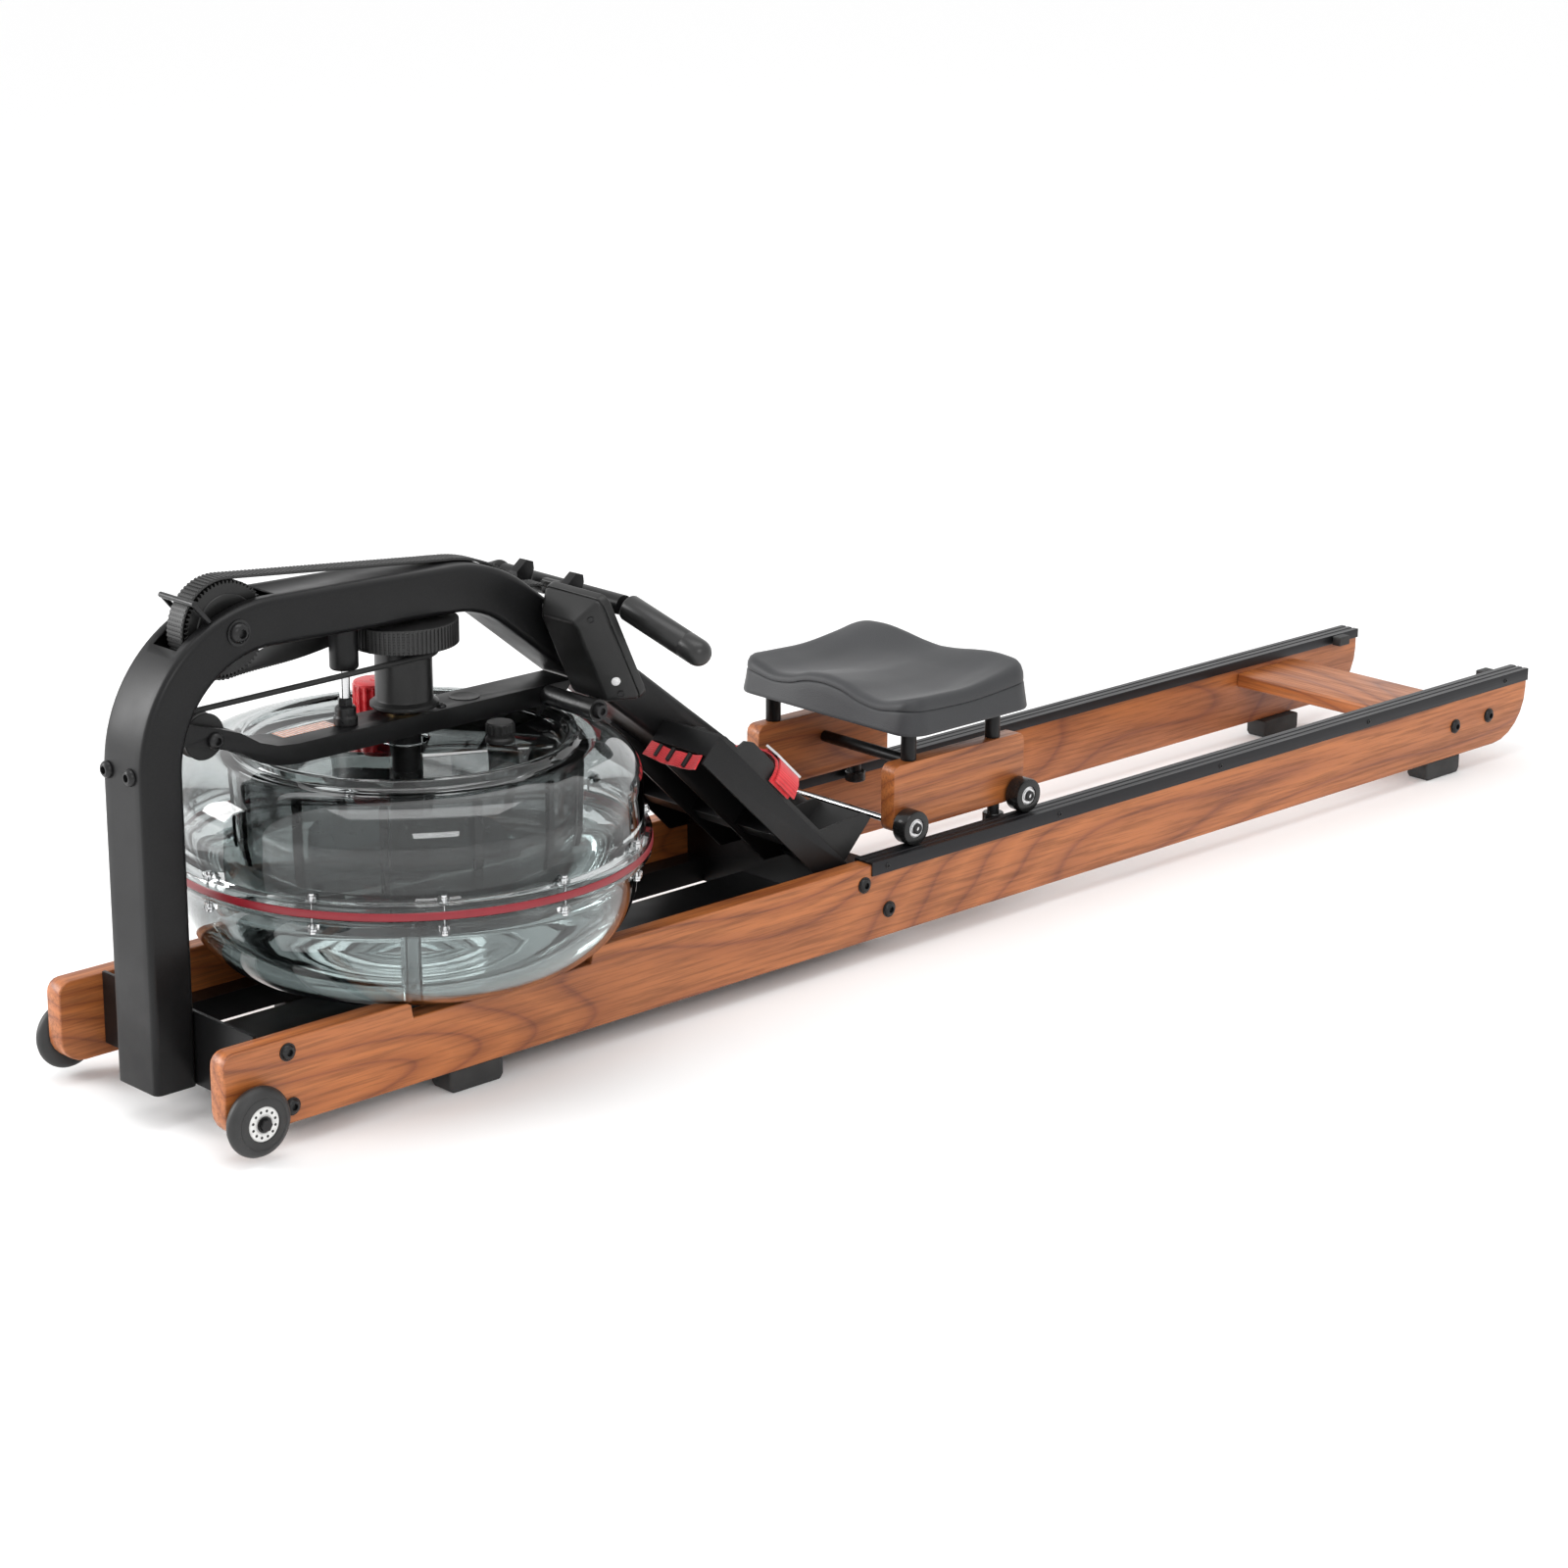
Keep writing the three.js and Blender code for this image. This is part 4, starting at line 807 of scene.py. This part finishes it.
def leaving(station, reach, turn):
    """how a straight run from a wheel at station meets a round of that reach on the tank's axis"""
    apart = tank_x - station
    lean = math.asin(reach / apart)
    free = math.sqrt(apart ** 2 - reach ** 2)
    return lean, (station + free * math.cos(lean), turn * free * math.sin(lean))


belt_thick, belt_half, belt_level = 2.0, 12.5, 450
spool_reach = 55 + belt_thick / 2 + 0.3
wrap = pulley_radius + belt_thick / 2 + 0.3
_, handle_high, handle = station_box("handle_bar")
handle_half = handle_high.y
belt_line = [(547, 0, handle.z + 6), (530, 0, handle.z + 12.6)]
belt_line += [(x, 0, mast_top(x) + 2.0) for x in (*range(506, 449, -8), *range(440, 399, -10))]
for i in range(33):
    x, z = around((pulley_station, pulley_height), wrap, math.radians(84 + 186 * i / 32))
    belt_line.append((x, 0, z))
belt_across = [(0, 1, 0)] * len(belt_line)
lean, touch = leaving(pulley_station, spool_reach, 1)
start, touch = Vector(belt_line[-1]), Vector((*touch, belt_level))
for i in range(1, 17):
    share = i / 16
    turn = share * share * (3 - 2 * share) * math.pi / 2
    belt_line.append(tuple(start.lerp(touch, share)))
    belt_across.append((0, math.cos(turn), math.sin(turn)))
for i in range(1, 46):
    x, y = around((tank_x, 0), spool_reach, math.pi / 2 + lean - math.radians(6 * i))
    belt_line.append((x, y, belt_level))
    belt_across.append((0, 0, 1))

belt_section = []
for i in range(9):
    marks = ((0.1, -1.0), (0.9, -1.0), (0.95, -0.4), (1.05, -0.4)) if i < 8 else ((0.1, -1.0), (0.9, -1.0))
    belt_section += [(-belt_half + 2 * belt_half * (i + share) / 9, up) for share, up in marks]
belt_section += [(belt_half, -0.8), (belt_half, 0.8), (12.2, 1.0), (-12.2, 1.0), (-belt_half, 0.8),
                 (-belt_half, -0.8)]
belt = swept(belt_section, places_along(belt_line, belt_across))
tooth_line, tooth_across = [], []
tooth_pitch, tooth_size = 4.6, (24.2, 1.1, 2.3, 1)
left_over = 0.0
for i in range(len(belt_line) - 1):
    a, b = Vector(belt_line[i]), Vector(belt_line[i + 1])
    length = (b - a).length
    while left_over < length:
        share = left_over / length
        tooth_line.append(a.lerp(b, share))
        tooth_across.append(Vector(belt_across[i]).lerp(Vector(belt_across[i + 1]), share))
        left_over += tooth_pitch
    left_over -= length
for place in places_along(tooth_line, tooth_across):
    tooth = place @ Matrix.Translation((0, -1.35, 0)) @ Matrix.Diagonal(tooth_size)
    bmesh.ops.create_cube(belt, size=1, matrix=tooth)
belt_rubber = moulded_rubber("belt_rubber", 0.016, 0.5)
set_piece("drive_belt_run", belt, "frame", belt_rubber, ("drive_belt",), smooth=60)

cord_radius, cord_level = 3.0, 428
cord_reach = 30.5 + cord_radius + 0.3
idler_reach = idler_radius - 1 + cord_radius + 0.3
cord_line = []
for i in range(14):
    x, z = around((idler_centre[0], idler_centre[2]), idler_reach, math.radians(185 - 95 * i / 13))
    cord_line.append((x, 0, z))
lean, touch = leaving(idler_centre[0], cord_reach, -1)
start, touch = Vector(cord_line[-1]), Vector((*touch, cord_level))
cord_line += [tuple(start.lerp(touch, i / 6)) for i in range(1, 7)]
for i in range(1, 41):
    x, y = around((tank_x, 0), cord_reach, math.radians(6 * i) - math.pi / 2 - lean)
    cord_line.append((x, y, cord_level))
braid = moulded_rubber("cord_braid", 0.014, 0.7)
relief(braid, texture(braid, "ShaderNodeTexVoronoi", 620.0).outputs["Distance"], 0.5, 0.0006)
recoil = round_wire(cord_line, cord_radius, (0.02, 0.3, 1), 14)
set_piece("recoil_cord_run", recoil, "frame", braid, ("recoil_cord",), smooth=60)

# ---- handle
# A powder-coated steel bar with moulded rubber grips that droop outwards; a plastic clasp
# pins it to the belt, and it hooks over a two-pronged rest on the mast.
set_piece("handle_tube", rod(11, -handle_half, handle_half, 40, handle, "Y"), "handle",
          frame_coat, ("handle_bar",))
grip_rubber = moulded_rubber("grip_rubber", 0.011, 0.34)
grip_out, grip_drop, grip_back, grip_radius = 110, 38, 14, 14.5
grip_reach = math.hypot(grip_out, grip_drop, grip_back)
end = grip_reach - 12
grip_outline = [(0, 1), (12.6, 1), (13.8, 2), (grip_radius, 4), (grip_radius, end - 22), (14.1, end - 21),
                (14.1, end - 19.5), (grip_radius, end - 18.5), (grip_radius, end - 2)]
for angle in map(math.radians, range(8, 90, 9)):
    grip_outline.append((14.3 * math.cos(angle), end - 2 + 14.0 * math.sin(angle)))
grip_outline.append((0, end + 12))
for name, side in both_sides:
    grip = turned(grip_outline, 48)
    lean = Vector((grip_back, side * grip_out, -grip_drop)).to_track_quat("Z", "Y").to_matrix()
    bmesh.ops.rotate(grip, verts=grip.verts, cent=(0, 0, 0), matrix=lean)
    start_y = side * (98 + grip_radius * grip_drop / grip_reach + 0.3)
    bmesh.ops.translate(grip, verts=grip.verts, vec=(handle.x, start_y, handle.z))
    set_piece(f"handle_grip_{name}", grip, "handle", grip_rubber, (f"grip_{name}",))
dressed("belt_clasp", "belt_clasp_block", "handle", moulded_black, 2.5)
clasp_bolts = [dome_bolt((handle.x - 15, side * 14.2, handle.z + 6), 4.4, 3, "Y", side) for side in (-1, 1)]
set_piece("clasp_bolts", joined(*clasp_bolts), "handle", bolt_black)
dressed("handle_rest", "handle_rest_prongs", "frame", frame_coat, 2.2)

# ---- monitor
# A moulded black case tilted on a pivot beside the mast, its dark glass towards the rower.
# Four case screws sit deep in the back, with a small pale sensor cap beside the pivot.
screen_lean = math.radians(25)
case_y = -mast_half - 1 - 47
case_place = Matrix((
    (math.sin(screen_lean), 0, -math.cos(screen_lean), 518.5),
    (0, 1, 0, case_y),
    (-math.cos(screen_lean), 0, -math.sin(screen_lean), 482.5),
    (0, 0, 0, 1),
))


def case_part(down, y, deep, narrow=1.0, radius=0.0, corners=0.0):
    """a block laid on the tilted case: down its face, across, and into its depth"""
    bm = block(down, y, deep)
    if corners:
        upright = [e for e in bm.edges if abs(e.verts[0].co.z - e.verts[1].co.z) > 0.5]
        rounded(bm, upright, corners, 6)
    if narrow != 1.0:
        back = [v for v in bm.verts if v.co.z > sum(deep) / 2]
        bmesh.ops.scale(bm, verts=back, vec=(0.5 + narrow / 2, narrow, 1),
                        space=Matrix.Translation((-sum(down) / 2, -sum(y) / 2, 0)))
    if radius:
        rims = [e for e in bm.edges if len(e.link_faces) == 2 and e.calc_face_angle(0) > 0.55]
        rounded(bm, rims, radius, 4)
    bmesh.ops.transform(bm, matrix=case_place, verts=bm.verts)
    return bm


case = case_part((0, 130), (-47, 47), (0, 10), 1.0, 2.2, 11)
case_back = case_part((0.8, 129.2), (-46.2, 46.2), (10.8, 39), 0.60, 3.0, 9)
seam = case_part((2, 128), (-45, 45), (9, 12), 1.0, 0, 9)
pivot_x, pivot_z = 522.5, 353
shoulder = rod(12, -25, -8, 36, (pivot_x, case_y, pivot_z), "Y")
set_piece("monitor_case", joined(case, case_back, seam, shoulder), "monitor",
          moulded_black, ("monitor",))
glass = new_material("screen_glass", (0.010, 0.013, 0.012), 0.08)
glass_haze = noise(glass, 60.0, Detail=2.0)
vary(glass, "Roughness", glass_haze, [(0.3, 0.05), (0.7, 0.14)])
vary(glass, "Base Color", glass_haze, [
    (0.3, (0.008, 0.011, 0.010)), (0.7, (0.014, 0.018, 0.016))])
set_piece("monitor_glass", case_part((12, 92), (-39, 39), (-0.8, 0.6), 0, 0.3, 4), "monitor",
          glass)
keys = [case_part((102, 114), (y - 8, y + 8), (-1.8, 0.6), 0, 0.8, 4) for y in (-24, 0, 24)]
set_piece("monitor_keys", joined(*keys), "monitor", grip_rubber)
flank = 0.98


def on_flank(bm, down, y, deep):
    """lays a small turned piece on the case's slanted side"""
    turn = Matrix.Rotation(math.copysign(flank, -y), 3, "X")
    bmesh.ops.rotate(bm, verts=bm.verts, cent=(0, 0, 0), matrix=turn)
    bmesh.ops.translate(bm, verts=bm.verts, vec=(down, y, deep))
    bmesh.ops.transform(bm, matrix=case_place, verts=bm.verts)
    return bm


pit = [(0, 0), (3.6, 0), (3.6, 1.2), (2.8, 1.2), (2.6, 0.4), (0, 0.4)]
pits = [on_flank(turned(pit, 20), down, y, 25.0) for down in (17, 113) for y in (-37.2, 37.2)]
set_piece("case_screws", joined(*pits), "monitor", bolt_black)
cap_white = new_material("sensor_cap", (0.75, 0.75, 0.73), 0.4)
cap_spots = noise(cap_white, 900.0)
vary(cap_white, "Base Color", cap_spots, [(0.4, 0.62), (0.6, 0.8)])
dot = on_flank(turned([(0, 0), (4.8, 0), (4.8, 1.2), (4.2, 1.6), (0, 1.6)], 24), 96, -37.3, 25.2)
set_piece("sensor_dot", dot, "monitor", cap_white)
pivot_head = [(0, -25.3), (8.5, -25.3), (8.5, -28), (7, -32), (3.6, -32), (3.6, -29), (0, -29)]
inner = -25.3 - case_y
pivot_pin = [(0, -26), (5, -26), (5, -7.7), (11, -7.7), (11, inner), (0, inner)]
pivot_parts = [turned(profile, 32, (pivot_x, case_y, pivot_z), "Y") for profile in (pivot_head, pivot_pin)]
set_piece("monitor_pivot_bolt", joined(*pivot_parts), "frame", bolt_black,
          ("monitor_pivot",), 0.4)

# ---- foot tray and pedals
# Folded steel plates slope down on both sides of the strut; a moulded foot plate with a heel
# cup slides on each, and red webbing goes over the foot through a steel ladder buckle.
dressed("foot_tray", "foot_tray_plates", "frame", frame_coat, 1.0)
tray_slope = math.radians(44)
along_tray = Vector((math.cos(tray_slope), 0, -math.sin(tray_slope)))
off_tray = Vector((math.sin(tray_slope), 0, math.cos(tray_slope)))
tray_toe = Vector((679, 0, 298))
on_tray = Matrix((along_tray, (0, 1, 0), off_tray)).transposed().to_4x4()
from_toe = Matrix.Translation(tray_toe) @ on_tray


def webbing(name):
    material = new_material(name, (0.62, 0.012, 0.020), 0.72)
    ribs = texture(material, "ShaderNodeTexWave", 260.0, (1, 0, 0), (0, tray_slope, 0))
    cross = texture(material, "ShaderNodeTexWave", 300.0, (0.2, 1, 0.2))
    cross.bands_direction = "Y"
    weave = blend_colours(material, ribs.outputs["Fac"], cross.outputs["Fac"], 0.5)
    fade = noise(material, 45.0, Detail=3.0)
    worn = ramp(material, fade, [(0.3, (0.55, 0.008, 0.016)), (0.7, (0.80, 0.030, 0.040))])
    threads = ramp(material, weave, [(0.2, 0.62), (0.6, 1.0)])
    feed(material, "Base Color", blend_colours(material, worn, threads, 1.0, "MULTIPLY"))
    relief(material, weave, 0.7, 0.0005)
    finish(material, Sheen_Weight=0.35, Sheen_Roughness=0.4)
    return material


red_webbing = webbing("red_webbing")
pedal_black = moulded_plastic("pedal_plastic", 0.011, 0.5)
pedal_out, pedal_half = 80.5, 33
band_section = [(-19, -1), (19, -1), (19, 1), (-19, 1)]
toe_section = [(-9, -0.9), (9, -0.9), (9, 0.9), (-9, 0.9)]
arch_line = ((-43.5, 4), (-43.8, 13), (-41, 23), (-35, 30), (-25, 34.5), (-12, 36.5), (0, 37), (12, 36.5),
             (25, 34.5), (35, 30), (41, 23), (43.8, 13), (43.5, 4))
tail_line = ((8, 38.6), (16, 39.6), (24, 38.6), (32, 36), (39, 31), (44, 24), (47, 16), (49, 7))


def laid(matrix, x, y, z):
    """a block moved on to the tray"""
    bm = block(x, y, z)
    bmesh.ops.transform(bm, matrix=matrix, verts=bm.verts)
    return bm


for name, side in both_sides:
    pedal, middle = f"pedal_{name}", side * pedal_out
    dressed(pedal, f"foot_plate_{name}", pedal, pedal_black, 1.4)
    ribs = [laid(from_toe, (down, down + 4), (middle - pedal_half, middle + pedal_half), (6.3, 8.0))
            for down in range(120, 200, 14)]
    set_piece(f"foot_tread_{name}", joined(*ribs), pedal, pedal_black, (), 0.6)

    arch = [from_toe @ Vector((118, middle + out, lift)) for out, lift in arch_line]
    tail = [from_toe @ Vector((121, middle + side * out, lift)) for out, lift in tail_line]
    bands = [swept(band_section, places_along(line, along_tray)) for line in (arch, tail)]
    strap = set_piece(f"foot_webbing_{name}", joined(*bands), pedal, red_webbing,
                      (f"foot_strap_{name}",))
    smoother = strap.modifiers.new("soft folds", "SUBSURF")
    smoother.subdivision_type = "SIMPLE"
    smoother.levels = smoother.render_levels = 1

    toe_line = [from_toe @ Vector((-1.4 + 1.2 * math.cos(k * 1.9), side * (37 + 84 * k / 8),
                                   -37 - 3.5 * math.sin(math.pi * k / 8))) for k in range(9)]
    toe_band = swept(toe_section, places_along(toe_line, off_tray))
    set_piece(f"toe_webbing_{name}", toe_band, "frame", red_webbing)
    clips = [laid(from_toe, (-5.5, 0.5), (side * out - 2.2, side * out + 2.2), (-45 - k, -30))
             for k, out in enumerate((58, 78, 104))]
    set_piece(f"toe_clips_{name}", joined(*clips), "frame", pedal_black, (), 0.8)

    buckle = (from_toe @ Matrix.Translation((120, middle + side * 25, 38.4))
              @ Matrix.Rotation(-side * 0.30, 4, "X"))
    bars = [laid(buckle, (-22, 22), (y - 1.6, y + 1.6), (-1.4, 1.8)) for y in (-11.5, 0, 11.5)]
    bars += [laid(buckle, (x - 1.6, x + 1.6), (-13, 13), (-1.4, 1.8)) for x in (-22, 22)]
    set_piece(f"ladder_buckle_{name}", joined(*bars), pedal, chrome, (), 0.7)

# ---- seat carriage
# Two rounded ash boards joined by a steel tie; four polyurethane rollers run on the covers,
# and a small roller under each board bears on the covers' inner lips.
board_wood = oiled_wood("board_wood", 0.6)
for side, _ in both_sides:
    dressed(f"carriage_board_{side}", f"carriage_plank_{side}", "carriage", board_wood, 4.0)
dressed("carriage_tie", "carriage_tie_tube", "carriage", frame_coat, 0.4)
for place in ("front", "rear"):
    dressed(f"axle_{place}", f"{place}_axle_rod", "carriage", chrome, 0.4)
roller_black = moulded_plastic("roller_black", 0.010, 0.22)
bearing_steel = bright_metal("bearing_steel", 0.75, 0.3)
axle_height = 137.2
guide_station, guide_out = 1121, 114.7
tyre = ((10.6, 126), (13, 125.5), (18, 125.5), (19.4, 126), (20, 127.4), (20, 143.6), (19.4, 145),
        (18, 145.5), (11.4, 145.5), (10.8, 144.8), (10.6, 144.4))
race = ((5.2, 127), (10.7, 127), (10.7, 144.4), (9.6, 144.9), (8.8, 144.2), (7.2, 144.2), (6.6, 144.9),
        (5.2, 144.6))
roller_bolt = ((0, 145.6), (6.2, 145.6), (6.2, 147.6), (5.2, 148.6), (2.8, 148.6), (2.6, 146.4), (0, 146.4))
spacer = ((4.4, 122.8), (8, 122.8), (8, 125.3), (4.4, 125.3))


def beside(profile, side, steps, station, height):
    """a turned piece on one side of the machine: (radius, distance from the middle plane) points"""
    return turned([(r, side * y) for r, y in profile], steps, (station, 0, height), "Y")


for place, station in (("front", 963), ("rear", 1149)):
    for name, side in both_sides:
        body, spot = f"roller_{place}_{name}", (station, axle_height)
        set_piece(f"{body}_tyre", beside(tyre, side, 56, *spot), body, roller_black, (body,))
        set_piece(f"{body}_bearing", beside(race, side, 40, *spot), body, bearing_steel)
        bolt = joined(beside(roller_bolt, side, 24, *spot), beside(spacer, side, 24, *spot))
        set_piece(f"{body}_bolt", bolt, "carriage", bolt_black)
pin = [(0, 102.9), (6, 102.9), (6, 104.6), (3, 104.6), (3, 117.2), (7, 117.2), (7, 127.7), (0, 127.7)]
ring = [(3.3, 104.9), (11.5, 104.9), (12.5, 105.9), (12.5, 115.9), (11.5, 116.9), (3.3, 116.9)]
for name, side in both_sides:
    spot = (guide_station, side * guide_out, 0)
    set_piece(f"guide_pin_bolt_{name}", turned(pin, 28, spot), "carriage", bolt_black,
              (f"guide_pin_{name}",))
    set_piece(f"guide_wheel_{name}", turned(ring, 40, spot), f"guide_roller_{name}",
              roller_black, (f"guide_roller_{name}",))

# ---- seat
# A skinned foam seat moulded in one piece over a steel plate on four posts: raised at the
# back with a notch for the tailbone, two dips for the thighs, and a parting line all round.
dressed("seat_support", "seat_plate_posts", "carriage", frame_coat, 0.5)
pad_low, pad_high, pad_middle = station_box("seat_pad")
seat_low, seat_middle = pad_low.z, pad_middle.x
seat_long, seat_wide = (pad_high.x - pad_low.x) / 2, pad_high.y
corner = 26
core_x, core_y = seat_long - corner, seat_wide - corner


def along_curve(knots, at):
    """a smooth line through evenly spaced heights"""
    place = min(max(at, 0), 0.9999) * (len(knots) - 1)
    i = int(place)
    share = place - i
    a, b, c, d = (knots[min(max(i + k, 0), len(knots) - 1)] for k in (-1, 0, 1, 2))
    return b + 0.5 * share * (c - a + share * (2 * a - 5 * b + 4 * c - d + share * (3 * (b - c) + d - a)))


# heights from the middle line out to the side, at the front edge, the middle and the back edge
top_rows = (
    (291, 288, 280, 277, 283, 290), (284, 281, 275, 274, 281, 288), (279, 276, 272.5, 273, 280, 287),
    (281, 280, 280, 283, 289, 291), (293, 296, 301, 304, 302, 297),
)
line_rows = ((281, 278, 270, 267, 271, 274), (271,) * 6, (270,) * 6, (273,) * 6,
             (280, 281, 283, 283, 280, 277))


def seat_height(rows, x, y):
    at = abs(y) / seat_wide
    return along_curve([along_curve(row, at) for row in rows], (x + seat_long) / (2 * seat_long))


def seat_rim(co, inset):
    """the point of the rounded outline nearest to co, brought in by inset"""
    near = Vector((min(max(co.x, -core_x), core_x), min(max(co.y, -core_y), core_y), 0))
    out = Vector((co.x, co.y, 0)) - near
    return near + out.normalized() * (corner - inset)


def grown_row(edges, place):
    """one more row of skin below the last, each of its points moved by place"""
    grown = bmesh.ops.extrude_edge_only(seat_bm, edges=edges)["geom"]
    row = [e for e in grown if isinstance(e, bmesh.types.BMEdge) and e.is_boundary]
    for vert in {v for e in row for v in e.verts}:
        vert.co = place(vert.co)
    return row


seat_bm = bmesh.new()
bmesh.ops.create_grid(seat_bm, x_segments=44, y_segments=60, size=1)
top_inset = 13
r = corner - top_inset
for vert in seat_bm.verts:
    x, y = vert.co.x * (seat_long - top_inset), vert.co.y * (seat_wide - top_inset)
    if abs(x) > core_x and abs(y) > core_y:
        s, t = (abs(x) - core_x) / r, (abs(y) - core_y) / r
        x = math.copysign(core_x + r * s * math.sqrt(1 - t * t / 2), x)
        y = math.copysign(core_y + r * t * math.sqrt(1 - s * s / 2), y)
    vert.co = (x, y, seat_height(top_rows, x, y))
# each row: inset from the outline, share of the way from the parting line to the top, drop in mm
skin_rows = ((9, 0.93, 0), (5.5, 0.72, 0), (3.4, 0.40, 0), (3.0, 0.10, 0), (3.0, 0, 0), (4.4, 0, 0.8),
             (3.2, 0, 1.8), (2.4, 0, 4), (1.4, 0, 12))
edges = [e for e in seat_bm.edges if e.is_boundary]
for inset, rise, drop in skin_rows:
    def on_skin(co):
        x, y, _ = seat_rim(co, inset)
        line, top = seat_height(line_rows, x, y), seat_height(top_rows, x, y)
        return x, y, line + (top - line) * rise - drop

    edges = grown_row(edges, on_skin)
for inset, lift in ((-1.2, 4), (-1.6, 1.2), (-1.0, 0), (4.5, 0), (5, 6.2)):
    edges = grown_row(edges, lambda co: (*seat_rim(co, inset).xy, seat_low + lift))
bmesh.ops.edgeloop_fill(seat_bm, edges=edges)
bmesh.ops.translate(seat_bm, verts=seat_bm.verts, vec=(seat_middle, 0, 0))


def skinned_foam(name):
    material = new_material(name, (0.020, 0.021, 0.023), 0.5)
    pebble = texture(material, "ShaderNodeTexVoronoi", 700.0)
    broad = noise(material, 14.0, Detail=3.0)
    vary(material, "Base Color", broad, [
        (0.3, (0.017, 0.018, 0.020)), (0.7, (0.026, 0.027, 0.030))])
    vary(material, "Roughness", broad, [(0.3, 0.46), (0.7, 0.60)])
    relief(material, pebble.outputs["Distance"], 0.35, 0.00035)
    finish(material, Sheen_Weight=0.08)
    return material


seat = set_piece("seat_foam_pad", seat_bm, "carriage", skinned_foam("seat_foam_skin"),
                 ("seat_pad",), smooth=60)

# ---- transport wheels
# Hard rubber tyres on pale moulded nylon hubs with a ring of small holes, drawn as thin near-black
# discs on the hub face: painted shade for the holes' dark insides. A steel bolt with a washer and a
# hexagon head fixes each to the nose of its rail.
nylon = new_material("hub_nylon", (0.70, 0.70, 0.68), 0.42)
nylon_spots = noise(nylon, 220.0, Detail=3.0)
vary(nylon, "Base Color", nylon_spots, [
    (0.3, (0.60, 0.60, 0.585)), (0.7, (0.76, 0.76, 0.745))])
# painted shade: a near-black finish for the flat discs that stand in for the shadowed holes in the hubs
hole_shade_paint = new_material("painted_hole_shade", (0.02, 0.02, 0.02), 0.8)
hole_spots = noise(hole_shade_paint, 300.0)
vary(hole_shade_paint, "Roughness", hole_spots, [(0.3, 0.6), (0.7, 0.9)])
wheel_rubber = moulded_rubber("wheel_rubber", 0.016, 0.5)
wheel_spot = (30, 43.6)
wheel_tyre = ((18.2, 157.5), (22, 156.5), (29, 157.5), (34.6, 161.5), (36.3, 165), (36.6, 167), (36.3, 169),
              (34.6, 172.5), (31, 175.8), (28, 176.9), (26.4, 176.2), (25, 176.9), (20, 177.4), (18.8, 177.4),
              (18.2, 176.6))
wheel_hub = ((4.4, 158), (18.1, 158), (18.1, 175.8), (17, 176.6), (10, 176.6), (9, 175.6), (4.4, 175.6))
axle = ((0, 155.3), (4, 155.3), (4, 177.8), (0, 177.8))
washer = ((0, 176.7), (8.4, 176.7), (8.4, 177.8), (0, 177.8))
hexagon = ((0, 177.8), (6.6, 177.8), (6.6, 181.8), (5.6, 182.6), (0, 182.6))
bolt_shapes = ((axle, 24), (washer, 32), (hexagon, 6))
hub_face, hole_ring = 176.62, 13.6
for name, side in both_sides:
    wheel = f"wheel_{name}"
    set_piece(f"wheel_tyre_{name}", beside(wheel_tyre, side, 72, *wheel_spot), wheel,
              wheel_rubber, (wheel,))
    set_piece(f"wheel_hub_{name}", beside(wheel_hub, side, 56, *wheel_spot), wheel, nylon)
    # each hole is a thin dark disc on the hub face, painted shade rather than an opening
    holes = []
    for i in range(12):
        x, z = around(wheel_spot, hole_ring, math.radians(30 * i + 15))
        holes.append(rod(1.5, 0, side * 0.12, 12, (x, side * hub_face, z), "Y"))
    set_piece(f"painted_hole_shade_discs_{name}", joined(*holes), wheel, hole_shade_paint)
    bolt = [beside(profile, side, steps, *wheel_spot) for profile, steps in bolt_shapes]
    set_piece(f"wheel_axle_bolt_{name}", joined(*bolt), "frame", bolt_black,
              (f"wheel_bolt_{name}",), 0.3)
